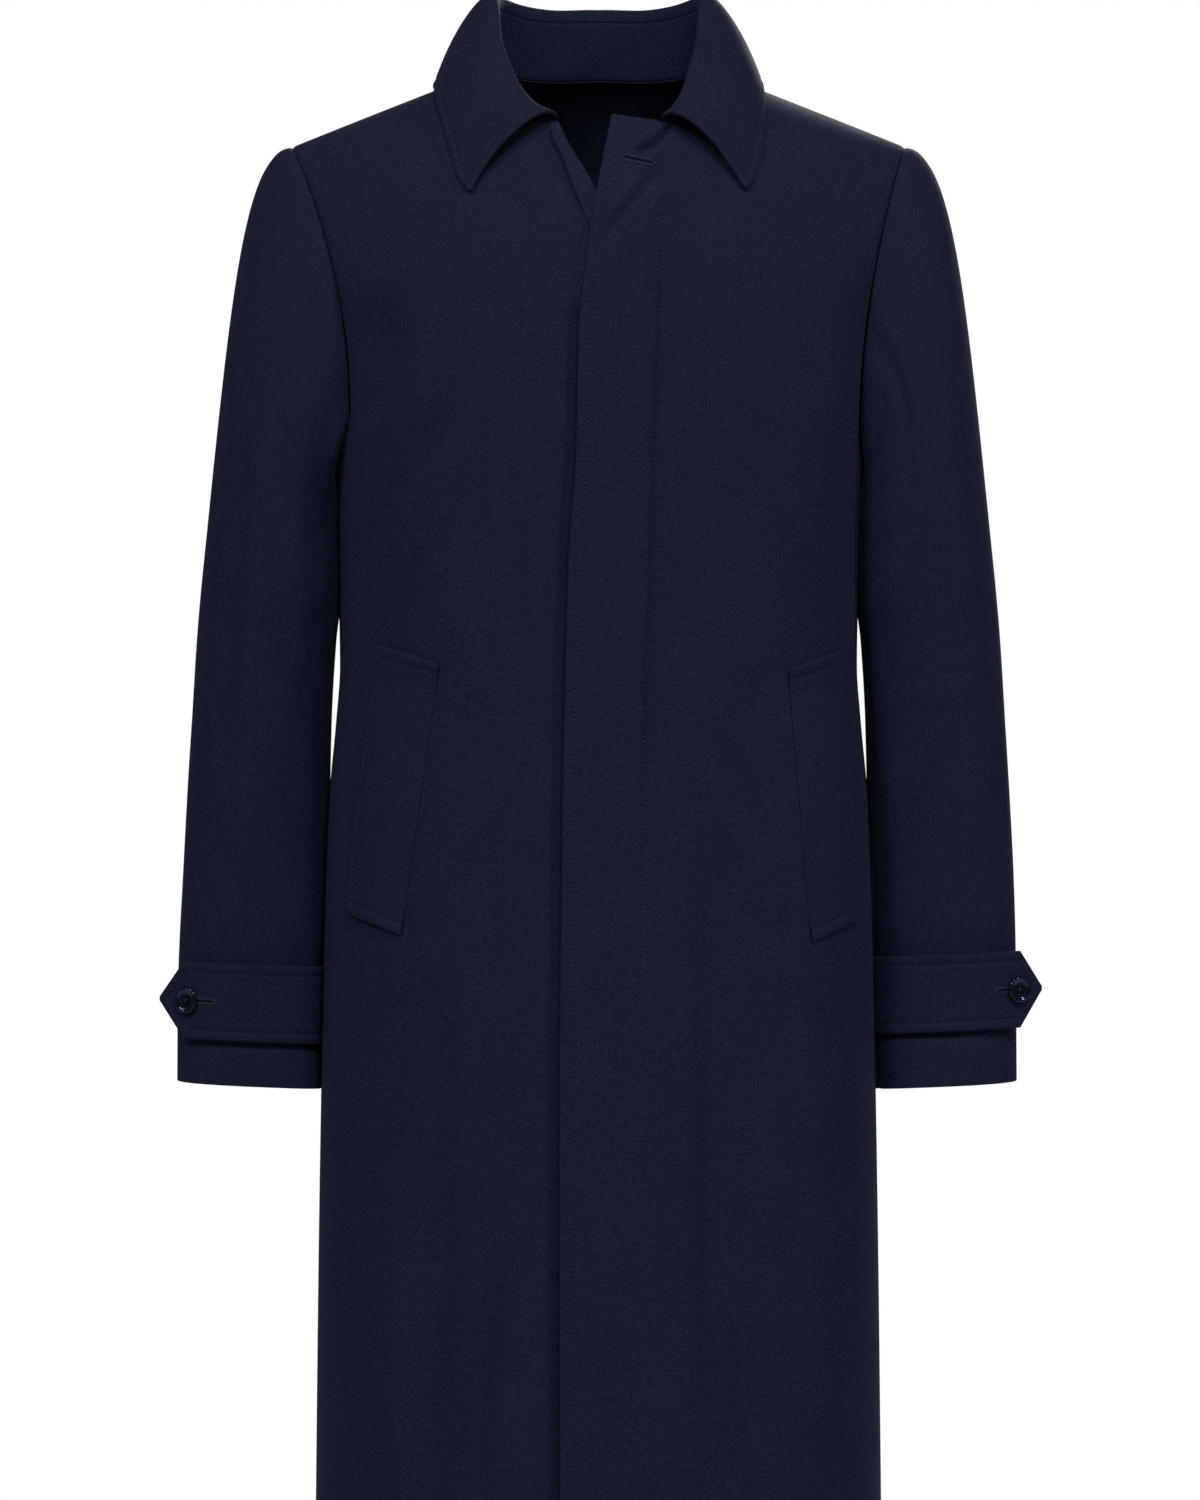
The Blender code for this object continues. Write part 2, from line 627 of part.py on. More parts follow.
def fall_rows():
    rows = []
    for side, place in collar_places(1.0):
        foot, begin, leave, arrive, edge = collar_arms(side, place)
        shares = np.linspace(0, 1, COLLAR_ROWS + 1)
        rows.append([bend(begin, leave, arrive, edge, share) for share in shares])
    return rows


def stand_rows():
    rows = []
    for side, place in collar_places(STAND_END):
        foot, begin, leave, arrive, edge = collar_arms(side, place)
        up = (begin - foot) / np.linalg.norm(begin - foot)
        away = bend(begin, leave, arrive, edge, 1 / COLLAR_ROWS) - begin
        away = away / np.linalg.norm(away)
        slant = math.hypot(away[0], away[1]) + math.hypot(up[0], up[1])
        low = foot + up * STAND_FOOT
        high = begin - up * (STAND_TOP_CLEAR + COLLAR_CLOTH * slant)
        rows.append([low + (high - low) * share for share in np.linspace(0, 1, STAND_ROWS + 1)])
    return rows


def turnback_rows():
    rows = []
    for height in np.linspace(TURNBACK[0].height, TURNBACK[-1].height, TURNBACK_ROWS + 1):
        fold = float(follow(TURNBACK, "height", "fold", height))
        free = float(follow(TURNBACK, "height", "free", height))
        stand = float(follow(TURNBACK, "height", "stand", height))
        share = np.linspace(0, 1, TURNBACK_COLUMNS + 1)
        out = SEAM_GAP + CLOTH + stand * share
        level = np.full(len(share), height)
        rows.append(body_moved_out(FRONT, RIGHT, fold + (free - fold) * share, level, out))
    return rows


def welt_rows(welt):
    rows = []
    share = np.linspace(0, 1, WELT_COLUMNS + 1)
    out = np.full(len(share), WELT_OFF_CLOTH + WELT_CLOTH)
    for down in np.linspace(0, 1, WELT_ROWS + 1):
        bow = WELT_BOW * math.sin(math.pi * down)
        outer_across = welt.top_outer.across + (welt.bottom_outer.across - welt.top_outer.across) * down
        outer_height = welt.top_outer.height + (welt.bottom_outer.height - welt.top_outer.height) * down
        inner_across = welt.top_inner.across + (welt.bottom_inner.across - welt.top_inner.across) * down
        inner_height = welt.top_inner.height + (welt.bottom_inner.height - welt.top_inner.height) * down
        across = inner_across + (outer_across + bow - inner_across) * share
        height = inner_height + (outer_height - inner_height) * share
        rows.append(body_moved_out(FRONT, welt.side, across, height, out))
    return rows


def tab_line(side, height):
    """The tab's run at one height: points round the cuff, then straight on; with its lengths."""
    out = TAB_OFF_CLOTH + TAB_CLOTH
    angles = np.linspace(TAB_START_ANGLE, TAB_LEAVE_ANGLE, TAB_WRAP_COLUMNS + 1)
    wrap = sleeve_points(side, np.full(len(angles), height), angles, out)
    way = wrap[-1] - sleeve_points(side, height, TAB_LEAVE_ANGLE + 1, out)
    way = way / np.linalg.norm(way)
    tip = wrap[-1] + way * (side.tab_reach - abs(wrap[-1][0])) / abs(way[0])
    return wrap, way, tip


def tab_columns(side):
    columns = []
    shares = np.linspace(-1, 1, TAB_ROWS + 1)
    lines = [tab_line(side, side.tab_height + TAB_HALF * share) for share in shares]
    for index in range(TAB_WRAP_COLUMNS + 1):
        columns.append([wrap[index] for wrap, way, tip in lines])
    middle_wrap, middle_way, middle_tip = tab_line(side, side.tab_height)
    for left in np.linspace(TAB_POINT, 0, TAB_POINT_COLUMNS + 1):
        half = max(TAB_HALF * left / TAB_POINT, TAB_TIP_HALF)
        column_points = []
        for share in shares:
            column_points.append(middle_tip - middle_way * left + np.array([0, 0, half * share]))
        columns.append(column_points)
    return columns


def make_material(name, look):
    material = bpy.data.materials.new(name)
    material.use_nodes = True
    shader = material.node_tree.nodes["Principled BSDF"]
    shader.inputs["Base Color"].default_value = (*look.colour, 1)
    shader.inputs["Roughness"].default_value = look.roughness
    shader.inputs["Metallic"].default_value = 0
    material.diffuse_color = (*look.colour, 1)
    return material


def sheet(name, rows, thick, inside, look=WOOL):
    """Cloth sheet through rows of points, its thickness added on the side that the inside lies."""
    count = len(rows)
    wide = len(rows[0])
    work = bmesh.new()
    bmesh.ops.create_grid(work, x_segments=wide - 1, y_segments=count - 1, size=1)
    for vertex in work.verts:
        across = round((vertex.co.x + 1) / 2 * (wide - 1))
        down = round((vertex.co.y + 1) / 2 * (count - 1))
        vertex.co = Vector(rows[down][across])
    work.normal_update()
    facing = sum(f.normal.dot(f.calc_center_median() - inside(f.calc_center_median())) for f in work.faces)
    if facing < 0:
        bmesh.ops.reverse_faces(work, faces=work.faces)
    mesh = bpy.data.meshes.new(name)
    work.to_mesh(mesh)
    work.free()
    made = bpy.data.objects.new(name, mesh)
    PARTS.objects.link(made)
    wall = made.modifiers.new("wall", "SOLIDIFY")
    wall.thickness = thick
    wall.offset = -1
    wall.use_even_offset = True
    wall.use_quality_normals = True
    mesh.materials.append(make_material(name, look))
    made.parent = ORIGIN
    return made


def body_inside(point):
    return Vector((0, 0, point.z - INSIDE_BELOW))


def sleeve_inside(side):
    def middle(point):
        height = min(max(point.z - INSIDE_BELOW, CUFF_HEIGHT), BICEP_HEIGHT)
        outer = float(follow(SLEEVE, "height", "outer", height))
        inner = float(follow(SLEEVE, "height", "inner", height))
        return Vector((side.sign * (outer + inner) / 2, 0, point.z))
    return middle


def stand_inside(point):
    return point * 2 - Vector((0, NECK_MIDDLE, point.z))


def fall_inside(point):
    return Vector((point.x * FALL_INSIDE_SHARE, point.y * FALL_INSIDE_SHARE, FALL_INSIDE_HEIGHT))


def make_button(side):
    """Turned button with a raised rim and four holes, set on the tab just off its face."""
    wrap, way, tip = tab_line(side, side.tab_height)
    name = "cuff_button_" + side.name
    profile = bpy.data.meshes.new(name)
    half = BUTTON_THICK / 2
    inner = BUTTON_RADIUS - BUTTON_RIM
    outline = [
        (0, half - BUTTON_DISH),
        (inner, half - BUTTON_DISH),
        (inner + BUTTON_ROUND, half),
        (BUTTON_RADIUS - BUTTON_ROUND, half),
        (BUTTON_RADIUS, half - BUTTON_ROUND),
        (BUTTON_RADIUS, 0),
        (BUTTON_RADIUS - BUTTON_ROUND, -half),
        (0, -half),
    ]
    edges = [(start, start + 1) for start in range(len(outline) - 1)]
    profile.from_pydata([(x, 0, z) for x, z in outline], edges, [])
    made = bpy.data.objects.new(name, profile)
    PARTS.objects.link(made)
    turned = made.modifiers.new("turned", "SCREW")
    turned.steps = BUTTON_STEPS
    turned.render_steps = BUTTON_STEPS
    turned.use_merge_vertices = True
    turned.merge_threshold = MERGE
    turned.use_normal_calculate = True
    face = Vector(np.cross(way, (0, 0, 1)))
    face = face if face.y < 0 else -face
    face.normalize()
    aside = Vector(way).normalized()
    frame = Matrix((aside, face.cross(aside), face)).transposed()
    middle = Vector(tip - way * BUTTON_FROM_POINT) + face * (SEAM_GAP + half)
    made.rotation_euler = frame.to_euler()
    made.location = middle
    for across in (-HOLE_SPREAD, HOLE_SPREAD):
        for up in (-HOLE_SPREAD, HOLE_SPREAD):
            drill_hole(made, frame, middle, across, up)
    profile.materials.append(make_material(name, HORN))
    made.parent = ORIGIN
    return made


def drill_hole(button, frame, middle, across, up):
    work = bmesh.new()
    bmesh.ops.create_cone(work, cap_ends=True, segments=HOLE_STEPS, radius1=HOLE_RADIUS, radius2=HOLE_RADIUS,
                          depth=HOLE_DEPTH)
    mesh = bpy.data.meshes.new("button_drill")
    work.to_mesh(mesh)
    work.free()
    drill = bpy.data.objects.new("button_drill", mesh)
    CUTTERS.objects.link(drill)
    drill.rotation_euler = frame.to_euler()
    drill.location = middle + frame @ Vector((across, up, 0))
    drill.hide_render = True
    drill.display_type = "WIRE"
    drill.parent = ORIGIN
    cut = button.modifiers.new("hole", "BOOLEAN")
    cut.operation = "DIFFERENCE"
    cut.solver = "EXACT"
    cut.object = drill


for old in list(bpy.data.objects):
    bpy.data.objects.remove(old, do_unlink=True)
PARTS = bpy.data.collections.new(NAME)
CUTTERS = bpy.data.collections.new(NAME + "_cutters")
bpy.context.scene.collection.children.link(PARTS)
bpy.context.scene.collection.children.link(CUTTERS)
CUTTERS.hide_render = True
ORIGIN = bpy.data.objects.new("wearer_neck", None)
PARTS.objects.link(ORIGIN)

for side in (LEFT, RIGHT):
    sheet("front_" + side.name, front_rows(side), CLOTH, body_inside)
    sheet("back_" + side.name, back_rows(side), CLOTH, body_inside)
    top_half, under_half = sleeve_halves(side)
    sheet("sleeve_top_" + side.name, top_half, CLOTH, sleeve_inside(side))
    sheet("sleeve_under_" + side.name, under_half, CLOTH, sleeve_inside(side))
    sheet("cuff_tab_" + side.name, tab_columns(side), TAB_CLOTH, sleeve_inside(side))
    make_button(side)
for welt in WELTS:
    sheet("pocket_welt_" + welt.side.name, welt_rows(welt), WELT_CLOTH, body_inside)
sheet("front_turnback", turnback_rows(), CLOTH, body_inside)
sheet("collar_stand", stand_rows(), COLLAR_CLOTH, stand_inside)
sheet("collar_fall", fall_rows(), COLLAR_CLOTH, fall_inside)
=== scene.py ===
import math

import bmesh
import bpy
import numpy as np
from mathutils import Matrix, Vector
from mathutils.bvhtree import BVHTree


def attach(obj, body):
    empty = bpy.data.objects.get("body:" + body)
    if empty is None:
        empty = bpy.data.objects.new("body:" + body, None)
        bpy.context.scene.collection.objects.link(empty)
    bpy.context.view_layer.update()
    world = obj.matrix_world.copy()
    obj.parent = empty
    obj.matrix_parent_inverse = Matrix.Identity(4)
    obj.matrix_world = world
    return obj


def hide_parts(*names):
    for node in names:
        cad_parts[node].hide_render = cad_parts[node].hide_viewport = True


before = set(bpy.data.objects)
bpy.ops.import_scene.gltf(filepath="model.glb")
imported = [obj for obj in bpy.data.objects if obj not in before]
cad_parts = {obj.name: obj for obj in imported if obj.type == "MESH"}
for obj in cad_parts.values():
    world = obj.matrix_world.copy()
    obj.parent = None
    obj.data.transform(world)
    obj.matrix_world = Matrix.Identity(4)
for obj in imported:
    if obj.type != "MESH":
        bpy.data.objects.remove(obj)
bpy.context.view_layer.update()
print("frame:", len(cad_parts), "nodes")

# the body, by height, in metres; the front faces -Y and the wearer's left is +X
body = {
    "height": [-1.095, -0.872, -0.757, -0.64, -0.584, -0.526, -0.469,
               -0.43, -0.38, -0.287, -0.2, -0.11, -0.05],
    "halfWidth": [0.2036, 0.2012, 0.1995, 0.1972, 0.1957, 0.1934, 0.1883,
                  0.1856, 0.1865, 0.191, 0.204, 0.236, 0.258],
    "front": [0.139, 0.135, 0.133, 0.131, 0.129, 0.128, 0.127, 0.127, 0.127, 0.128, 0.128, 0.128, 0.128],
    "back": [0.135, 0.128, 0.122, 0.114, 0.108, 0.103, 0.098, 0.097, 0.1, 0.108, 0.108, 0.108, 0.108],
    "roundDrop": {"front": 0.25, "back": 0.16},   # how far below the shoulder a face reaches full depth
    "square": 2.4, "hem": -1.095, "armpit": -0.287, "neckHalf": 0.075, "neckMiddle": -0.012,
    "shoulderTip": 0.2205, "shoulderSlope": 0.4, "shoulderSoft": 0.03, "armholeEase": 0.85,
    "backNeckDepth": 0.055, "backNarrow": 0.186, "backNarrowHeight": -0.245,
    "creaseFull": 1.5,   # creases reach full height a little below the shoulder
    "slopeStep": 0.0005, "seamHalf": 0.00004,   # panels all but touch along a seam
}

# the two halves of the coat don't hang alike
halves = {
    "left": {
        "sign": 1, "corner": (0.0102, -0.0424), "collarEnd": (0.0445, -0.047),
        "edge": {"height": [-1.095, -0.748, -0.539, -0.358, -0.281, -0.197, -0.161, -0.098, -0.042],
                 "across": [-0.0258, -0.0262, -0.0241, -0.0199, -0.0145, -0.0129, -0.0094, -0.0004, 0.0102]},
        "narrow": 0.186, "narrowHeight": -0.262, "spread": 0.0115, "underFront": 144.96, "underBack": 251.25,
        "tabHeight": -0.6642, "tabReach": 0.319, "tabPoint": 0.0182, "buttonFrom": 0.0205,
        "holeLong": 0.0187, "cuffWider": 0.0,
    },
    "right": {
        "sign": -1, "corner": None, "collarEnd": (0.0293, -0.0462),
        "edge": {"height": [-1.095, -0.17, -0.125, -0.0986, -0.0858, -0.0633, -0.0462],
                 "across": [-0.022, -0.022, -0.012, 0.0018, 0.0081, 0.0215, 0.0293]},
        "narrow": 0.1765, "narrowHeight": -0.245, "spread": 0.0, "underFront": 151.72, "underBack": 251.25,
        "tabHeight": -0.6715, "tabReach": 0.3155, "tabPoint": 0.0201, "buttonFrom": 0.024,
        "holeLong": 0.0222, "cuffWider": 0.0022,
    },
}

# creases: from x, z to x, z, width on the wearer's right, on the left, and rise (a hollow if negative)
creases = {
    "fade": 0.3,
    "front": [   # the first nine are the solids' own
        (-0.15, -0.185, -0.168, -0.262, 0.024, 0.024, -0.005),
        (-0.088, -0.24, -0.16, -0.375, 0.022, 0.022, 0.0035),
        (0.064, -0.17, 0.066, -0.42, 0.02, 0.02, -0.0035),
        (0.064, -0.455, 0.113, -0.58, 0.016, 0.016, 0.0035),
        (0.056, -0.72, 0.058, -1.095, 0.018, 0.018, 0.005),
        (0.1, -0.56, 0.108, -1.095, 0.022, 0.022, -0.0045),
        (0.148, -0.82, 0.165, -1.0, 0.018, 0.018, 0.0045),
        (-0.058, -0.83, -0.058, -1.095, 0.018, 0.018, 0.005),
        (-0.108, -0.7, -0.112, -1.095, 0.024, 0.024, -0.005),
        (-0.149, -0.18, -0.166, -0.266, 0.026, 0.012, -0.0062),   # hollow before the armhole
        (-0.125, -0.165, -0.131, -0.236, 0.01, 0.018, 0.0044),
        (-0.13, -0.232, -0.152, -0.268, 0.009, 0.014, 0.0028),
        (-0.1, -0.245, -0.172, -0.362, 0.012, 0.009, -0.0056),   # drag from the armhole down to the pocket
        (-0.074, -0.24, -0.144, -0.38, 0.009, 0.013, 0.0036),
        (-0.0757, -0.302, -0.0667, -0.432, 0.006, 0.008, 0.0016),
        (-0.06, -0.32, -0.056, -0.45, 0.006, 0.006, -0.0012),
        (-0.0667, -0.516, -0.1267, -0.6, 0.007, 0.01, 0.0028),
        (-0.0757, -0.544, -0.0757, -0.656, 0.006, 0.006, -0.0016),
        (-0.096, -0.64, -0.1, -0.84, 0.01, 0.012, 0.002),
        (-0.0897, -0.841, -0.1127, -0.972, 0.007, 0.01, 0.0031),   # fan of folds in the skirt
        (-0.07, -0.84, -0.084, -0.98, 0.007, 0.007, -0.0022),
        (-0.0478, -0.832, -0.0618, -0.953, 0.007, 0.009, -0.0028),
        (-0.15, -0.8, -0.142, -1.05, 0.014, 0.014, 0.0032),
        (0.091, -0.12, 0.088, -0.29, 0.028, 0.012, 0.0053),   # ridge beside the fly
        (0.047, -0.15, 0.0345, -0.56, 0.005, 0.018, -0.0056),   # step down beside the fly
        (0.088, -0.29, 0.08, -0.56, 0.026, 0.012, 0.0035),
        (0.0967, -0.274, 0.1707, -0.3765, 0.005, 0.006, 0.0026),
        (0.085, -0.29, 0.12, -0.345, 0.005, 0.005, 0.0012),
        (0.148, -0.17, 0.16, -0.24, 0.012, 0.01, -0.0041),
        (0.0548, -0.4226, 0.105, -0.5, 0.01, 0.008, 0.0027),   # drag across to the left pocket
        (0.07, -0.47, 0.118, -0.56, 0.01, 0.01, -0.0032),
        (0.059, -0.52, 0.06, -0.94, 0.009, 0.009, 0.0042),
        (0.08, -0.6, 0.078, -0.92, 0.008, 0.01, -0.0034),
        (0.1427, -0.49, 0.1525, -0.82, 0.008, 0.012, 0.0038),
        (0.12, -0.76, 0.126, -1.06, 0.008, 0.011, 0.004),
        (0.051, -0.0505, 0.04, -0.065, 0.0026, 0.0036, -0.0044),   # puckers below the collar's end
        (0.04, -0.065, 0.028, -0.0708, 0.0026, 0.0034, -0.0036),
        (0.044, -0.053, 0.02, -0.0668, 0.0042, 0.0042, 0.0026),
        (0.044, -0.084, 0.006, -0.134, 0.007, 0.006, -0.0038),
        (0.044, -0.1, 0.015, -0.148, 0.006, 0.007, 0.0032),
        (0.033, -0.082, 0.006, -0.118, 0.0044, 0.0044, 0.0018),
    ],
    "back": [   # the first five are the solids' own
        (-0.07, -0.56, -0.095, -1.095, 0.026, 0.026, 0.006),
        (0.08, -0.6, 0.088, -1.095, 0.024, 0.024, 0.0055),
        (-0.036, -0.64, -0.046, -1.095, 0.017, 0.017, -0.0045),
        (0.135, -0.5, 0.15, -0.9, 0.022, 0.022, -0.004),
        (-0.12, -0.3, -0.15, -0.43, 0.024, 0.024, -0.004),
        (0.13, -0.23, 0.165, -0.29, 0.012, 0.02, -0.0045),
        (-0.128, -0.225, -0.163, -0.285, 0.02, 0.012, -0.0042),
        (0.12, -0.27, 0.086, -0.41, 0.013, 0.01, 0.0027),
        (-0.1, -0.21, -0.066, -0.33, 0.012, 0.014, 0.0024),
        (0.04, -0.12, 0.036, -0.3, 0.014, 0.014, -0.0021),
        (-0.06, -0.4, -0.1, -0.52, 0.008, 0.012, 0.0021),
        (0.06, -0.42, 0.11, -0.5, 0.01, 0.008, 0.0019),
        (0.034, -0.7, 0.038, -1.06, 0.01, 0.012, -0.0027),
        (-0.13, -0.64, -0.14, -1.04, 0.012, 0.014, 0.0027),
    ],
}

# a slow unevenness all over: length of the wave across and along, where it starts, and its height
wander = [(0.17, 0.31, 0.4, 0.0004), (0.097, -0.22, 1.9, 0.00028), (0.061, 0.14, 3.1, 0.00018),
          (-0.044, 0.083, 5.0, 0.00012)]

# the left front is raised over the right one and its turned-back edge, and the right one sinks along it
lap = {"lift": 0.0034, "liftTurnback": 0.006, "full": 0.024, "none": 0.062, "low": -0.19, "high": -0.156,
       "sink": 0.0042, "sinkWide": 0.009, "samples": 120}


def follow(table, name, at, key="height"):   # smooth curve through a table that never overshoots
    places, values = np.array(table[key], dtype=float), np.array(table[name], dtype=float)
    step = np.diff(places)
    slope = np.diff(values) / step
    lean = np.zeros(len(places))
    lean[0], lean[-1] = slope[0], slope[-1]
    before, after = slope[:-1], slope[1:]
    same = before * after > 0
    lean[1:-1][same] = 2 * before[same] * after[same] / (before[same] + after[same])
    at = np.clip(np.asarray(at, dtype=float), places[0], places[-1])
    index = np.clip(np.searchsorted(places, at) - 1, 0, len(step) - 1)
    share = (at - places[index]) / step[index]
    rest = 1 - share
    start = values[index] * (1 + 2 * share) + step[index] * lean[index] * share
    end = values[index + 1] * (1 + 2 * rest) - step[index] * lean[index + 1] * rest
    return start * rest ** 2 + end * share ** 2


def ease(low, high, at):
    share = np.clip((np.asarray(at, dtype=float) - low) / (high - low), 0, 1)
    return share * share * (3 - 2 * share)


def bell(distance, width):
    return np.exp(-((distance / width) ** 2))


def fullness(share, power):   # how deep a rounded section still is at a share of its width
    return (1 - share ** power) ** (1 / power)


def signedPower(value, power):
    return np.sign(value) * np.abs(value) ** power


def unit(vectors):
    return vectors / np.maximum(np.linalg.norm(vectors, axis=-1, keepdims=True), 1e-12)


def runOf(points):   # distance along a line of points
    return np.concatenate([[0], np.cumsum(np.linalg.norm(np.diff(points, axis=0), axis=1))])


def alongLine(line, run, at):   # points of a line at distances along it
    return np.stack([np.interp(at, run, line[:, axis]) for axis in range(3)], axis=-1)


def between(low, high, count):   # even steps from low to high, without the two ends
    return np.linspace(low, high, count + 2)[1:-1]


def closeEnds(low, high, count, steps, endSteps=None):   # close steps at both ends and even ones between them
    start = low + np.array(steps)
    end = high - np.array(endSteps or steps)[::-1]
    return np.concatenate([start, between(start[-1], end[0], count), end])


def bend(begin, leave, arrive, finish, share):
    rest = 1 - share
    pull = leave * rest + arrive * share
    return begin * rest ** 3 + 3 * rest * share * pull + finish * share ** 3


def shoulderHeight(x):
    atNeck = math.hypot(body["neckHalf"], body["shoulderSoft"])
    return body["shoulderSlope"] * (atNeck - np.hypot(x, body["shoulderSoft"]))


def creaseRise(face, x, z):
    total = 0
    for x0, z0, x1, z1, widthRight, widthLeft, rise in creases[face]:
        length = math.hypot(x1 - x0, z1 - z0)
        along = ((x - x0) * (x1 - x0) + (z - z0) * (z1 - z0)) / length
        off = ((x - x0) * (z1 - z0) - (z - z0) * (x1 - x0)) / length
        fade = creases["fade"] * length
        ends = ease(-fade, fade, along)
        if z1 > body["hem"]:
            ends = ends * ease(-fade, fade, length - along)
        total = total + rise * ends * bell(off, np.where(off > 0, widthRight, widthLeft))
    for across, along, start, rise in wander:
        total = total + rise * np.sin(2 * math.pi * (x / across + z / along) + start)
    return total


def torsoDepth(face, x, z):
    drop = np.clip((shoulderHeight(x) - z) / body["roundDrop"][face], 0, 1)
    rounding = np.sqrt(1 - (1 - drop) ** 2)
    share = np.clip(np.abs(x) / follow(body, "halfWidth", z), 0, 1)
    rise = creaseRise(face, x, z) * np.minimum(1, rounding * body["creaseFull"])
    return fullness(share, body["square"]) * (follow(body, face, z) * rounding + rise)


def lapLift(x, z):
    top = ease(lap["low"], lap["high"], z)
    lift = lap["lift"] + (lap["liftTurnback"] - lap["lift"]) * top
    return lift * (1 - ease(lap["full"], lap["none"], x))


def bodyPoints(face, half, across, height):
    height = np.asarray(height, dtype=float)
    x = halves[half]["sign"] * np.asarray(across, dtype=float)
    depth = torsoDepth(face, x, height) + body["seamHalf"]
    if face == "front" and half == "left":
        depth = depth + lapLift(x, height)
    forward = -1 if face == "front" else 1
    return np.stack([x + 0 * depth, forward * depth, height + 0 * depth], axis=-1)


def bodyMovedOut(face, half, across, height, out):   # moved out square to the cloth
    across, height = np.asarray(across, dtype=float), np.asarray(height, dtype=float)
    here = bodyPoints(face, half, across, height)
    aside = bodyPoints(face, half, across + body["slopeStep"], height)
    below = bodyPoints(face, half, across, height - body["slopeStep"])
    turn = halves[half]["sign"] * (1 if face == "front" else -1)
    return here + unit(np.cross(aside - here, here - below) * turn) * np.asarray(out)[..., None]


def distanceTo(points, line):   # shortest distance from each point to a line of points
    flat = points.reshape(-1, 3)
    best = np.full(len(flat), np.inf)
    for start, end in zip(line[:-1], line[1:]):
        run = end - start
        share = np.clip((flat - start) @ run / max(run @ run, 1e-18), 0, 1)
        best = np.minimum(best, np.linalg.norm(flat - start - share[:, None] * run, axis=1))
    return best.reshape(points.shape[:-1])


def gridQuads(rows, cols):
    index = np.arange(rows * cols).reshape(rows, cols)
    corners = [index[:-1, :-1], index[:-1, 1:], index[1:, 1:], index[1:, :-1]]
    return index, np.stack(corners, axis=-1).reshape(-1, 4)


def gridAt(grid, places):   # values of a grid at row, column places between its points
    row = np.clip(places[:, 0], 0, grid.shape[0] - 1.000001)
    col = np.clip(places[:, 1], 0, grid.shape[1] - 1.000001)
    r, c = row.astype(int), col.astype(int)
    u, v = (row - r)[:, None], (col - c)[:, None]
    low = grid[r, c] * (1 - v) + grid[r, c + 1] * v
    high = grid[r + 1, c] * (1 - v) + grid[r + 1, c + 1] * v
    return low * (1 - u) + high * u


def seenFromFront(outer, across, height):   # points of a finished front that lie behind x, z, and their slope
    quads = gridQuads(*outer.shape[:2])[1]
    tree = BVHTree.FromPolygons(outer.reshape(-1, 3).tolist(), quads.tolist())
    points, up = [], []
    for x, z in zip(across, height):
        hit, square = tree.ray_cast(Vector((x, -1, z)), Vector((0, 1, 0)))[:2]
        if hit is not None:
            points.append(hit)
            up.append(square if square.y < 0 else -square)
    return np.array(points), np.array(up)


def levelLines(field, value):   # lines of row, column places where a grid of distances has one value
    above = field >= value
    count = above[:-1, :-1].astype(int) + above[1:, :-1] + above[:-1, 1:] + above[1:, 1:]
    links = {}
    for r, c in np.argwhere((count > 0) & (count < 4)).tolist():
        corners = [(r, c), (r, c + 1), (r + 1, c + 1), (r + 1, c)]
        sides = zip(corners, corners[1:] + corners[:1])
        crossed = [(min(a, b), max(a, b)) for a, b in sides if above[a] != above[b]]
        for a, b in zip(crossed[::2], crossed[1::2]):
            links.setdefault(a, []).append(b)
            links.setdefault(b, []).append(a)
    lines, left = [], set(links)
    while left:
        ends = [spot for spot in left if len(links[spot]) == 1]
        spot = min(ends or left)
        line = []
        while spot is not None:
            left.remove(spot)
            a, b = spot
            share = (value - field[a]) / (field[b] - field[a])
            line.append((a[0] + share * (b[0] - a[0]), a[1] + share * (b[1] - a[1])))
            onward = [other for other in links[spot] if other in left]
            spot = onward[0] if onward else None
        lines.append(np.array(line))
    return lines


# how a stitched edge and a sewn seam shape the cloth, in metres
# where an edge's puff and grooves lie, and how wide they are, are shares of the way to its stitches
edgeShape = {"puff": 0.0005, "puffAt": 0.42, "puffWide": 0.4, "groove": 0.0005, "grooveWide": 0.17,
             "past": 0.3, "pastAt": 1.7, "pastWide": 0.45}
seamShape = {"dip": 0.0008, "dipWide": 0.0017, "ridge": 0.0003, "ridgeAt": 0.0065, "ridgeWide": 0.004}


def edgeRoll(share, size=1.0):   # share is the distance from the edge, 1 at the stitches
    puff = edgeShape["puff"] * bell(share - edgeShape["puffAt"], edgeShape["puffWide"])
    groove = edgeShape["groove"] * bell(share - 1, edgeShape["grooveWide"])
    past = edgeShape["past"] * edgeShape["puff"] * bell(share - edgeShape["pastAt"], edgeShape["pastWide"])
    return (puff - groove + past) * size


def seamDip(distance, size=1.0, ridge=1.0):
    dip = seamShape["dip"] * bell(distance, seamShape["dipWide"])
    rise = seamShape["ridge"] * bell(distance - seamShape["ridgeAt"], seamShape["ridgeWide"])
    return rise * size * ridge - dip * size


def addObject(name, data):
    made = bpy.data.objects.new(name, data)
    bpy.context.scene.collection.objects.link(made)
    return made


def makeMesh(name, points, faces, places, material):
    mesh = bpy.data.meshes.new(name)
    mesh.from_pydata(points.tolist(), [], faces)
    mesh.polygons.foreach_set("use_smooth", np.ones(len(mesh.polygons), dtype=bool))
    if places is not None:
        layer = mesh.uv_layers.new(name="cloth")
        corner = np.empty(len(mesh.loops), dtype=np.int32)
        mesh.loops.foreach_get("vertex_index", corner)
        layer.uv.foreach_set("vector", places[corner].astype(np.float32).ravel())
    mesh.materials.append(material)
    mesh.update()
    made = addObject(name, mesh)
    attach(made, "root")
    return made


# the cloth's rim, and how much of the wall is left under the deepest grooves
rimShape = {"steps": 6, "leastWall": 0.6}


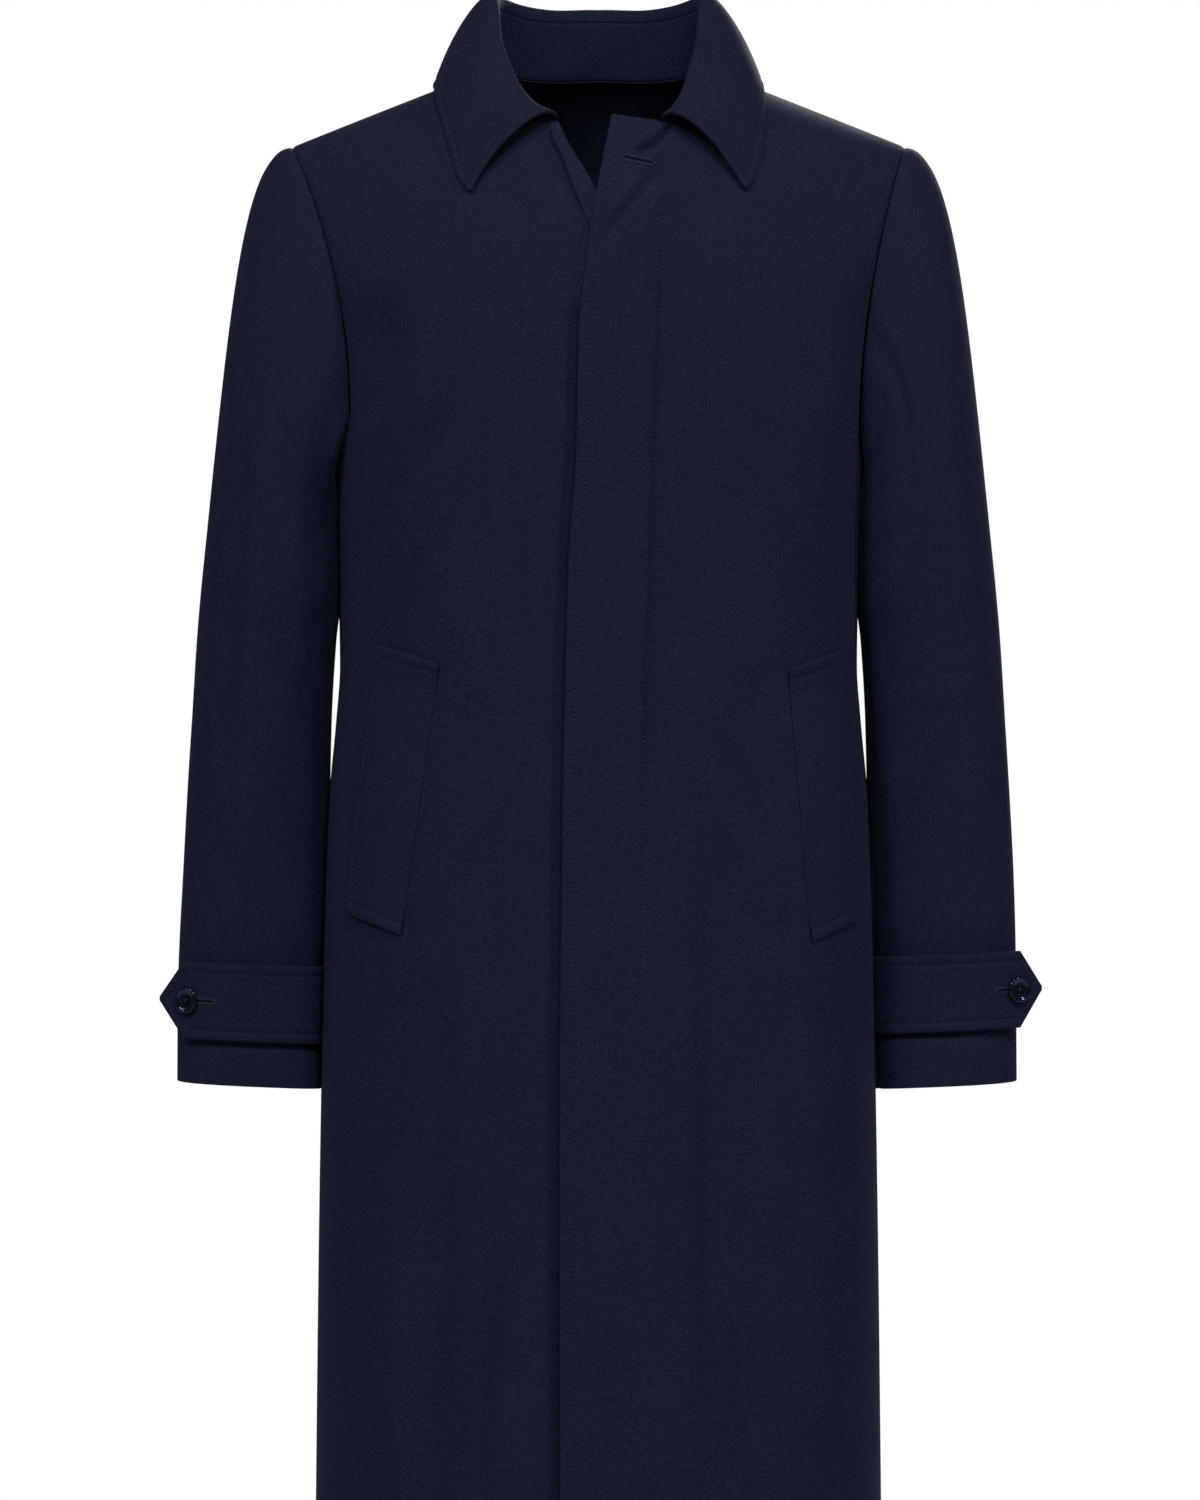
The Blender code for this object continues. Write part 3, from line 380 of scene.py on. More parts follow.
def clothShell(name, grid, wall, inside, relief, bulge):
    # bulge is how far the rim is rounded on the first row, last column, last row and first column
    rows, cols = grid.shape[:2]
    square = unit(np.cross(np.gradient(grid, axis=1), np.gradient(grid, axis=0)))
    flip = np.sum(square * (grid - inside)) < 0
    square = -square if flip else square
    outer = grid + square * relief[..., None]
    inner = grid - square * np.maximum(wall, rimShape["leastWall"] * wall - relief)[..., None]
    index, quads = gridQuads(rows, cols)
    loop = np.concatenate([index[0, :], index[1:, -1], index[-1, -2::-1], index[-2:0:-1, 0]])
    away, rounding = np.zeros((rows, cols, 3)), np.zeros((rows, cols))
    every = slice(None)
    sides = [((0, every), (1, every)), ((every, -1), (every, -2)),
             ((-1, every), (-2, every)), ((every, 0), (every, 1))]
    for (rim, behind), amount in zip(sides, bulge):
        away[rim] += unit(grid[rim] - grid[behind])
        rounding[rim] = np.maximum(rounding[rim], amount)
    away = unit(away - square * np.sum(away * square, axis=-1, keepdims=True)).reshape(-1, 3)[loop]
    top, low = outer.reshape(-1, 3)[loop], inner.reshape(-1, 3)[loop]
    middle, reach = (top + low) / 2, (top - low) / 2
    radius = np.linalg.norm(reach, axis=1) * rounding.ravel()[loop]
    across, along = np.zeros((rows, cols)), np.zeros((rows, cols))
    across[:, 1:] = np.cumsum(np.linalg.norm(np.diff(grid, axis=1), axis=2), axis=1)
    along[1:] = np.cumsum(np.linalg.norm(np.diff(grid, axis=0), axis=2), axis=0)
    flatPlaces = np.stack([across, along], axis=-1).reshape(-1, 2)
    points, places, rings = [outer.reshape(-1, 3), inner.reshape(-1, 3)], [flatPlaces, flatPlaces], [loop]
    for step in range(1, rimShape["steps"]):
        turn = math.pi * step / rimShape["steps"]
        rings.append(2 * rows * cols + (step - 1) * len(loop) + np.arange(len(loop)))
        points.append(middle + reach * math.cos(turn) + away * (radius * math.sin(turn))[:, None])
        places.append(flatPlaces[loop])
    rings.append(loop + rows * cols)
    faces = [quads, quads[:, ::-1] + rows * cols]
    for ring, below in zip(rings[:-1], rings[1:]):
        faces.append(np.stack([ring, below, np.roll(below, -1), np.roll(ring, -1)], axis=1))
    faces = np.concatenate(faces)[:, ::-1 if flip else 1]
    made = makeMesh(name, np.concatenate(points), faces.tolist(), np.concatenate(places), wool)
    diagonals = grid[1:, 1:] - grid[:-1, :-1], grid[1:, :-1] - grid[:-1, 1:]
    area = np.linalg.norm(np.cross(*diagonals), axis=2).sum() / 2
    flat = {"width": float(across[:, -1].max()), "length": float(along[-1].max()), "area": float(area)}
    return {"made": made, "node": name, "outer": outer, "square": square, "flat": flat}


def declare(shell, withPieces=()):
    made, node, flat = shell["made"], shell["node"], shell["flat"]
    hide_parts(node)


# sewing thread: sizes of one stitch, the gap to the next, and the dots of painted shade at the needle holes;
# lines under shortest get none
stitch = {
    "pitch": 0.0033, "length": 0.0018, "radius": 0.00034, "arch": 0.00026, "around": 6, "along": 5,
    "taper": 0.85, "lift": 0.00006, "shortest": 0.006, "fewest": 3,
    "holeLong": 0.0013, "holeRadius": 0.00036, "holeLift": -0.00012,
}


def threadRing(length, radius):   # one stitch, lying along X, its ends going down into the cloth
    arch, around, along = stitch["arch"], stitch["around"], stitch["along"]
    points, faces = [], []
    for step in between(-1, 1, along):
        thick, low = radius * math.sqrt(1 - step ** 2 * stitch["taper"]), arch * step ** 2
        for turn in np.linspace(0, 2 * math.pi, around, endpoint=False):
            points.append((step * length / 2, thick * math.cos(turn), thick * math.sin(turn) - low))
    points += [(-length / 2, 0, -arch), (length / 2, 0, -arch)]
    last = (along - 1) * around
    sides = [(spot, (spot + 1) % around) for spot in range(around)]
    for ring in range(0, last, around):
        faces += [(ring + a, ring + b, ring + around + b, ring + around + a) for a, b in sides]
    for a, b in sides:
        faces += [(b, a, along * around), (last + a, last + b, along * around + 1)]
    return np.array(points), faces


def threadMesh(name, spots, material):   # spots: middle, direction along, direction up, length, radius
    points, faces = [], []
    for middle, along, up, length, radius in spots:
        along = unit(along - up * (along @ up))
        shape, shapeFaces = threadRing(length, radius)
        start = len(points) * len(shape)
        points.append(middle + shape[:, :1] * along + shape[:, 1:2] * np.cross(up, along) + shape[:, 2:] * up)
        faces += [tuple(start + corner for corner in face) for face in shapeFaces]
    made = makeMesh(name, np.concatenate(points), faces, None, material)
    return made


def stitching(name, spots, material):   # stitches, and dots of painted shade at the needle holes between them
    holes = []
    for middle, along, up in (spot[:3] for spot in spots):
        ahead = unit(along - up * (along @ up)) * stitch["pitch"] / 2
        middle = middle + ahead + up * stitch["holeLift"]
        holes.append((middle, along, up, stitch["holeLong"], stitch["holeRadius"]))
    return [threadMesh(name, spots, material), threadMesh(name + "_needle_hole_shade", holes, slitShade)]


def stitchSpots(line, up):   # stitches spread evenly along a line of points
    run, near = runOf(line), stitch["pitch"] / 3
    count = max(int(round(run[-1] / stitch["pitch"])), 1)
    spots = []
    for at in (np.arange(count) + 0.5) * run[-1] / count:
        lift = unit(alongLine(up, run, at))
        middle = alongLine(line, run, at) + lift * stitch["lift"]
        ahead = alongLine(line, run, at + near) - alongLine(line, run, at - near)
        spots.append((middle, ahead, lift, stitch["length"], stitch["radius"]))
    return spots


def stitchField(shell, field, keep=None):   # stitches where a field of distance shares is 1
    spots = []
    for line in levelLines(field, 1.0):
        points, up = gridAt(shell["outer"], line), unit(gridAt(shell["square"], line))
        if keep is not None:
            kept = keep(points)
            points, up = points[kept], up[kept]
        if len(points) > stitch["fewest"] and runOf(points)[-1] > stitch["shortest"]:
            spots += stitchSpots(points, up)
    return spots


# colours are linear; twill and ply sizes in metres, and noise scales per metre
woolFinish = {
    "dark": (0.0032, 0.0048, 0.013), "light": (0.0092, 0.0124, 0.029), "between": (0.395, 0.605),
    "roughness": 0.8, "specular": 0.06, "bump": 0.55, "bumpDeep": 0.00022,
    "sheen": 0.03, "sheenRoughness": 0.45, "sheenTint": (0.3, 0.38, 0.62),
    "grain": {"Scale": 1 / 0.0017, "Detail": 3.0, "Roughness": 0.65},
    "patch": {"Scale": 1 / 0.005, "Detail": 3.0, "Roughness": 0.6},
    "mottle": {"Scale": 1 / 0.05, "Detail": 4.0, "Roughness": 0.6},
    "twill": 0.00085, "twillWave": {"Distortion": 1.2, "Detail": 2.0, "Detail Scale": 1.5},
    "mottleShare": 0.3, "unevenShare": 0.3, "twillShare": 0.4,
}
threadFinish = {"dark": (0.015, 0.02, 0.038), "light": (0.0225, 0.03, 0.057),
                "roughness": 0.6, "specular": 0.15, "ply": 0.0006}
edgeThreadFinish = {"dark": (0.0086, 0.0116, 0.023), "light": (0.0129, 0.0174, 0.0345),
                    "roughness": 0.6, "specular": 0.12, "ply": 0.0006}
# buttonhole thread: its own dark colour, with thin light stripes along the ply that are painted glints on its
# twist
holeFinish = {"dark": (0.0014, 0.002, 0.0042), "light": (0.0308, 0.044, 0.0924), "between": (0.84, 0.97),
              "roughness": 0.6, "specular": 0.1, "ply": 0.0022}
plyShape = {"wave": {"Distortion": 0.8}, "bump": 0.5, "bumpDeep": 0.00012}   # the same for all three threads
buttonFinish = {"dark": (0.0015, 0.002, 0.0046), "light": (0.0036, 0.005, 0.011), "tint": (0.5, 0.6, 1.0),
                "roughness": 0.1, "specular": 0.46,
                "noise": {"Scale": 1 / 0.006, "Detail": 5.0, "Roughness": 0.6, "Distortion": 0.8}}
# painted shade: a near-black colour for the strips along buttonhole slits and the dots at needle holes,
# standing in for the shade in these gaps
slitShadeFinish = {"dark": (0.0012, 0.0016, 0.0032), "light": (0.00192, 0.00256, 0.00512),
              "roughness": 0.95, "specular": 0.01, "noise": {"Scale": 900.0, "Detail": 2.0}}


def startMaterial(name, finish):
    material = bpy.data.materials.new(name)
    material.use_nodes = True
    shader = material.node_tree.nodes["Principled BSDF"]
    shader.inputs["Roughness"].default_value = finish["roughness"]
    shader.inputs["Specular IOR Level"].default_value = finish["specular"]
    return material, material.node_tree, shader


def addNode(tree, kind, **values):
    node = tree.nodes.new(kind)
    for name, value in values.items():
        if name in node.inputs:
            node.inputs[name].default_value = value
        else:
            setattr(node, name, value)
    return node


def addNoise(tree, place, values):
    noise = addNode(tree, "ShaderNodeTexNoise", **values)
    tree.links.new(place, noise.inputs["Vector"])
    return noise.outputs["Fac"]


def addBands(tree, place, apart, values):   # slanting bands, apart metres from one to the next
    bands = addNode(tree, "ShaderNodeTexWave", wave_type="BANDS", bands_direction="DIAGONAL",
                    Scale=2 * math.pi / (10 * apart), **values)
    tree.links.new(place, bands.inputs["Vector"])
    return bands.outputs["Fac"]


def addBump(tree, shader, height, finish):
    bump = addNode(tree, "ShaderNodeBump", Strength=finish["bump"], Distance=finish["bumpDeep"])
    tree.links.new(height, bump.inputs["Height"])
    tree.links.new(bump.outputs["Normal"], shader.inputs["Normal"])


def blendNodes(tree, first, second, share):
    blend = addNode(tree, "ShaderNodeMix", data_type="FLOAT")
    blend.inputs["Factor"].default_value = share
    tree.links.new(first, blend.inputs["A"])
    tree.links.new(second, blend.inputs["B"])
    return blend.outputs["Result"]


def mixColour(tree, shader, factor, finish):
    ramp = addNode(tree, "ShaderNodeValToRGB")
    ends = ramp.color_ramp.elements
    ends[0].position, ends[1].position = finish.get("between", (0.38, 0.62))
    ends[0].color, ends[1].color = (*finish["dark"], 1), (*finish["light"], 1)
    tree.links.new(factor, ramp.inputs["Fac"])
    tree.links.new(ramp.outputs["Color"], shader.inputs["Base Color"])


def makeWool(name, finish):
    material, tree, shader = startMaterial(name, finish)
    place = addNode(tree, "ShaderNodeUVMap", uv_map="cloth").outputs["UV"]
    grain, patch, mottle = (addNoise(tree, place, finish[kind]) for kind in ("grain", "patch", "mottle"))
    twill = addBands(tree, place, finish["twill"], finish["twillWave"])
    uneven = blendNodes(tree, patch, mottle, finish["mottleShare"])
    mixColour(tree, shader, blendNodes(tree, grain, uneven, finish["unevenShare"]), finish)
    addBump(tree, shader, blendNodes(tree, grain, twill, finish["twillShare"]), finish)
    shader.inputs["Sheen Weight"].default_value = finish["sheen"]
    shader.inputs["Sheen Roughness"].default_value = finish["sheenRoughness"]
    shader.inputs["Sheen Tint"].default_value = (*finish["sheenTint"], 1)
    return material


def makePlain(name, finish):   # thread, button, and the painted shade in slits and needle holes: two close colours mixed by one texture
    material, tree, shader = startMaterial(name, finish)
    place = addNode(tree, "ShaderNodeTexCoord").outputs["Object"]
    if "ply" in finish:
        factor = addBands(tree, place, finish["ply"], plyShape["wave"])
        addBump(tree, shader, factor, plyShape)
    else:
        factor = addNoise(tree, place, finish["noise"])
    mixColour(tree, shader, factor, finish)
    if "tint" in finish:
        shader.inputs["Specular Tint"].default_value = (*finish["tint"], 1)
    return material


wool = makeWool("navy_wool", woolFinish)
thread = makePlain("navy_thread", threadFinish)
holeThread = makePlain("buttonhole_thread", holeFinish)
edgeThread = makePlain("edge_thread", edgeThreadFinish)
horn = makePlain("navy_button", buttonFinish)
slitShade = makePlain("slit_shade", slitShadeFinish)
print("finishes made")

# fronts and backs: cloth, rows and columns, with close ones beside edges, seams and stitches
panel = {
    "wall": 0.0018, "inside": (0, 0, -0.5), "edgeStitch": 0.0066, "topStitch": 0.0063, "topSamples": 24,
    "edgeSteps": [0, 0.0008, 0.0018, 0.003, 0.0042, 0.0052, 0.006, 0.0066, 0.0072, 0.008, 0.0092, 0.011],
    "backSteps": [0, 0.0007, 0.0016, 0.0028, 0.0045, 0.007, 0.01],
    "seamSteps": [0, 0.0007, 0.0016, 0.0028, 0.0045, 0.007],
    "flySteps": [-0.003, -0.0019, -0.001, 0, 0.001, 0.0019, 0.003],
    "hemSteps": [0, 0.0008, 0.002, 0.004, 0.0075],
    "flyColumns": 20, "columns": {"left": 44, "right": 86, "back": 52}, "cornerColumns": 8, "flyFade": 8,
    "rowStep": 0.0056, "closeRows": (-0.703, -0.64), "closeStep": 0.0017, "lastRow": 1.4,
    "underarmRows": 12, "chestRows": 92, "samples": 400, "lineSamples": 200,
    "edgeFade": 3, "armholeFade": 2, "stitchPast": 0.002, "stitchBelow": -0.12,
    "bulge": {"left": (1, 0.1, 1, 1), "right": (1, 0.1, 0.2, 1), "back": (1, 0.1, 0.1, 0.1)},
}

# the line of stitches that holds the fly, by height, and its curve back to the edge
fly = {
    "height": [-1.095, -0.6453, -0.5392, -0.3577, -0.1964, -0.1615, -0.1155, -0.061, -0.045],
    "across": [0.0304, 0.0304, 0.0311, 0.0366, 0.0429, 0.045, 0.0457, 0.0464, 0.0465],
    "curve": [(0.0283, -0.6641), (0.0234, -0.6753), (0.0178, -0.6829), (0.0101, -0.6899), (0.0017, -0.6941),
              (-0.0087, -0.6969), (-0.0185, -0.6976)],
    "top": -0.056, "turn": -0.6453, "samples": 160, "curveSamples": 60,
    "groove": 0.0005, "grooveWide": 0.0014,
    "pucker": 0.00014, "puckerLong": 0.011, "puckerWide": 0.006, "puckerDrift": 3, "puckerTurn": 40,
}


def armholeLine(face, half, turns):   # 0 to 90 round the underarm, 90 to 180 up to the shoulder tip
    side = halves[half]
    narrow = side["narrow"] if face == "front" else body["backNarrow"]
    low = side["narrowHeight"] if face == "front" else body["backNarrowHeight"]
    square, armpit, outer = body["square"], body["armpit"], body["shoulderTip"]
    tall = float(shoulderHeight(outer)) - low
    deep = float(torsoDepth(face, side["sign"] * narrow, low)) / float(follow(body, face, low))
    turns = np.asarray(turns, dtype=float)
    under = np.radians(np.minimum(turns, 90))
    height = armpit + (low - armpit) * (1 - np.cos(under))
    width = follow(body, "halfWidth", height)
    atNarrow = width[np.argmin(np.abs(turns - 90))] * fullness(deep, square)
    across = width * fullness(deep * np.sin(under), square) + (narrow - atNarrow) * np.sin(under) ** 2
    drop = tall * (1 - np.cos(np.radians(180 - np.maximum(turns, 90))))
    rise = np.sin(math.pi / 2 * drop / tall) ** body["armholeEase"]
    chest = turns > 90
    across = np.where(chest, outer - (outer - narrow) * rise, across)
    return across, np.where(chest, tall + low - drop, height)


def backNeckSpot(turn):
    across = np.maximum(body["neckHalf"] * np.sin(turn), body["seamHalf"])
    profile = fullness(across / float(follow(body, "halfWidth", 0)), body["square"])
    rounding = body["backNeckDepth"] * np.cos(turn) / (float(follow(body, "back", 0)) * profile)
    drop = body["roundDrop"]["back"] * (1 - np.sqrt(1 - rounding ** 2))
    return across, shoulderHeight(across) - drop


def frontNeckSpot(half, turn):
    end = halves[half]["collarEnd"]
    return end[0] + (body["neckHalf"] - end[0]) * np.cos(turn), end[1] * np.sin(turn)


def topLine(face, half):   # neck edge, then shoulder seam, as distances and heights
    count, corner = panel["lineSamples"], halves[half]["corner"]
    shoulder = np.linspace(body["neckHalf"], body["shoulderTip"], count)[1:]
    turn = np.linspace(0, math.pi / 2, count)
    across, height = backNeckSpot(turn) if face == "back" else frontNeckSpot(half, turn[::-1])
    if face == "front" and corner is not None:
        end = halves[half]["collarEnd"]
        across = np.concatenate([np.linspace(corner[0], end[0], count, endpoint=False), across])
        height = np.concatenate([np.linspace(corner[1], end[1], count, endpoint=False), height])
    neckEnd = len(across) - 1
    return np.concatenate([across, shoulder]), np.concatenate([height, shoulderHeight(shoulder)]), neckEnd


def panelSpread(length, first, flyAt, columns):
    if flyAt is None:
        return closeEnds(0, length, columns, first, panel["seamSteps"])
    before = between(first[-1], flyAt + panel["flySteps"][0], panel["flyColumns"])
    after = closeEnds(flyAt, length, columns, panel["flySteps"], panel["seamSteps"])
    return np.concatenate([first, before, after])


def panelHeights():
    low, high = body["hem"], body["armpit"]
    heights = [low + step for step in panel["hemSteps"]]
    while heights[-1] < high - panel["rowStep"] * panel["lastRow"]:
        close = panel["closeRows"][0] < heights[-1] < panel["closeRows"][1]
        heights.append(heights[-1] + (panel["closeStep"] if close else panel["rowStep"]))
    return heights + [high]


def edgeAcross(face, half, height):   # where a panel begins at a height
    return body["seamHalf"] if face == "back" else float(follow(halves[half]["edge"], "across", height))


def panelGrid(face, half):
    columns = panel["columns"]["back" if face == "back" else half]
    first = panel["backSteps"] if face == "back" else panel["edgeSteps"]
    hasFly = face == "front" and half == "left"
    square, armpit = body["square"], body["armpit"]
    rows = []
    for height in panelHeights():   # below the armpit
        start = edgeAcross(face, half, height)
        reach = float(follow(body, "halfWidth", height))
        begin = math.asin(math.copysign(min(abs(start) / reach, 1) ** (square / 2), start))
        turn = np.linspace(begin, math.pi / 2, panel["samples"])
        across = reach * signedPower(np.sin(turn), 2 / square)
        across[-1] = reach
        run = runOf(bodyPoints(face, half, across, height))
        flyAt = np.interp(float(follow(fly, "across", height)), across, run) if hasFly else None
        spread = panelSpread(run[-1], first, flyAt, columns)
        lowAcross = np.interp(spread, run, across)
        rows.append(bodyPoints(face, half, lowAcross, height))
    share = spread / spread[-1]
    topAcross, topHeight, corner = topLine(face, half)   # one column is led to the neck's corner
    run = runOf(bodyPoints(face, half, topAcross, topHeight))
    flyAt = np.interp(fly["across"][-1], topAcross, run) if hasFly else None
    spread = panelSpread(run[-1], first, flyAt, columns)
    atCorner = int(np.argmin(np.abs(spread - run[corner])))
    keep = max(len(first), atCorner - panel["cornerColumns"])
    tail = len(panel["seamSteps"])
    before = np.linspace(spread[keep - 1], run[corner], atCorner + 2 - keep)[1:]
    after = between(run[corner], spread[-tail], len(spread) - atCorner - tail - 1)
    spread = np.concatenate([spread[:keep], before, after, spread[-tail:]])
    neckAcross, neckHeight = np.interp(spread, run, topAcross), np.interp(spread, run, topHeight)
    tip = float(shoulderHeight(body["shoulderTip"]))
    turns = np.concatenate([np.linspace(0, 90, panel["underarmRows"] + 1)[1:],
                            np.linspace(90, 180, panel["chestRows"] + 1)[1:]])
    for outAcross, outHeight in zip(*armholeLine(face, half, turns)):   # from the armpit up
        up = (outHeight - armpit) / (tip - armpit)
        height = armpit + (neckHeight - armpit) * up
        straight = lowAcross + (neckAcross - lowAcross) * up
        edge = edgeAcross(face, half, height[0])
        across = (straight + (edge - straight[0]) * (1 - share) ** panel["edgeFade"]
                  + (outAcross - straight[-1]) * share ** panel["armholeFade"])
        if hasFly:   # the close columns keep to the line of stitches
            atFly = len(first) + panel["flyColumns"] + len(panel["flySteps"]) // 2
            shift = float(follow(fly, "across", height[atFly])) - across[atFly]
            fade = [share[len(first)], share[atFly], share[-panel["flyFade"]]]
            across = across + shift * np.interp(share, fade, [0, 1, 0])
        height[-1] = outHeight
        rows.append(bodyPoints(face, half, across, height))
    rows[-1] = bodyPoints(face, half, neckAcross, neckHeight)
    return np.array(rows)


def flyLine():
    heights = np.linspace(fly["top"], fly["turn"], fly["samples"])
    across = follow(fly, "across", heights)
    curve = np.array([(across[-1], heights[-1]), *fly["curve"]])
    run = runOf(curve)
    fine = np.linspace(0, run[-1], fly["curveSamples"])[1:]
    return (np.concatenate([across, np.interp(fine, run, curve[:, 0])]),
            np.concatenate([heights, np.interp(fine, run, curve[:, 1])]))


# pocket welts: corners on each front as distance and height; the outer edge is the pocket's mouth
welts = {
    "left": {"topOuter": (0.1675, -0.4212), "topInner": (0.1336, -0.4335),
             "lowOuter": (0.1812, -0.6102), "lowInner": (0.1497, -0.6249)},
    "right": {"topOuter": (0.1534, -0.4169), "topInner": (0.1118, -0.4293),
              "lowOuter": (0.1753, -0.6053), "lowInner": (0.1385, -0.62)},
    "bow": 0.0028, "offCloth": 0.0009, "wall": 0.0024, "innerWall": 0.0006, "innerOff": -0.0004,
    "endRise": 0.002, "endLong": 0.1, "endFlat": 0.8, "flush": (-0.05, 0.75), "bulge": (0.5, 0.5, 0.5, 0.3),
    "stitch": 0.005, "endStitch": 0.0075, "roll": 1.2,
    "seam": 0.001, "seamWide": 0.0024, "seamIn": 0.0016, "seamSamples": 40,
    "across": [0, 0.02, 0.05, 0.1, 0.18, 0.28, 0.38, 0.48, 0.58, 0.68,
               0.76, 0.81, 0.845, 0.87, 0.895, 0.92, 0.945, 0.965, 0.985, 1],
    "endSteps": [0, 0.004, 0.01, 0.018, 0.026, 0.032, 0.037, 0.042, 0.048, 0.06], "rows": 50,
}


def weltSeam(half):   # where a welt is sewn to its front
    top, low = np.array(welts[half]["topInner"]), np.array(welts[half]["lowInner"])
    spots = top + (low - top) * np.linspace(0, 1, welts["seamSamples"])[:, None]
    return bodyPoints("front", half, spots[:, 0] - welts["seamIn"], spots[:, 1])


innerPoint = np.array(panel["inside"])
for half in ("left", "right"):
    grid = panelGrid("front", half)
    seam = np.concatenate([grid[:, -1], grid[-1, ::-1]])
    field = distanceTo(grid, grid[:, 0]) / panel["edgeStitch"]
    if half == "left":   # stitched along the top as well, and down the fly
        corner, end = halves[half]["corner"], halves[half]["collarEnd"]
        seam = seam[:len(grid) + np.argmin(np.abs(grid[-1, ::-1, 0] - end[0])) + 1]
        topAcross, topHeight = (np.linspace(*ends, panel["topSamples"]) for ends in zip(corner, end))
        top = bodyPoints("front", half, topAcross, topHeight)
        field = np.minimum(field, distanceTo(grid, top) / panel["topStitch"])
        flyAcross, flyHeight = flyLine()
        fromFly = distanceTo(grid, bodyPoints("front", half, flyAcross, flyHeight))
        drift = fly["puckerDrift"] * np.sin(grid[..., 2] * fly["puckerTurn"])
        pucker = fly["pucker"] * np.sin(2 * math.pi * grid[..., 2] / fly["puckerLong"] + drift)
        own = pucker * bell(fromFly, fly["puckerWide"]) - fly["groove"] * bell(fromFly, fly["grooveWide"])
    else:   # sinks along the left front's edge
        heights = np.linspace(body["hem"], lap["low"], lap["samples"])
        above = bodyPoints("front", half, -follow(halves["left"]["edge"], "across", heights), heights)
        own = -lap["sink"] * bell(distanceTo(grid, above), lap["sinkWide"])
    relief = edgeRoll(field) + seamDip(distanceTo(grid, seam)) + own
    relief -= welts["seam"] * bell(distanceTo(grid, weltSeam(half)), welts["seamWide"])
    shell = clothShell("front_" + half, grid, panel["wall"], innerPoint, relief, panel["bulge"][half])
    withPieces = []
    if half == "left":
        leftOuter = shell["outer"]
        past, below = end[0] + panel["stitchPast"], panel["stitchBelow"]
        spots = stitchField(shell, field, lambda points: (points[:, 0] < past) | (points[:, 2] < below))
        spots += stitchSpots(*seenFromFront(leftOuter, flyAcross, flyHeight))
        withPieces = stitching("stitches_front_" + half, spots, thread)
    declare(shell, withPieces)
    grid = panelGrid("back", half)
    relief = seamDip(distanceTo(grid, np.concatenate([grid[:, -1], grid[-1, ::-1], grid[::-1, 0]])))
    bulge = panel["bulge"]["back"]
    declare(clothShell("back_" + half, grid, panel["wall"], innerPoint, relief, bulge))
print("fronts and backs made")

# cuff tabs: round the front of the cuff, then straight on to the point
tab = {
    "half": 0.027, "wall": 0.0024, "offCloth": 0.0009, "startAngle": 158, "leaveAngle": 55, "tipHalf": 0.0014,
    "wrapColumns": 60, "runColumns": 8,
    "pointSteps": [1, 0.94, 0.88, 0.81, 0.74, 0.67, 0.6, 0.53, 0.46, 0.39, 0.32, 0.25, 0.18, 0.11, 0.05, 0],
    "edgeSteps": [0, 0.0008, 0.0018, 0.003, 0.0042, 0.0051, 0.0058, 0.0064, 0.007,
                  0.0078, 0.009, 0.0108, 0.0135, 0.017, 0.0215, 0.027],
    "stitch": 0.0064, "inside": (0.25, 0.06), "bulge": (0.3, 0.5, 0.5, 0.5),
    "holeFrom": 0.004, "holeSamples": 30,
}

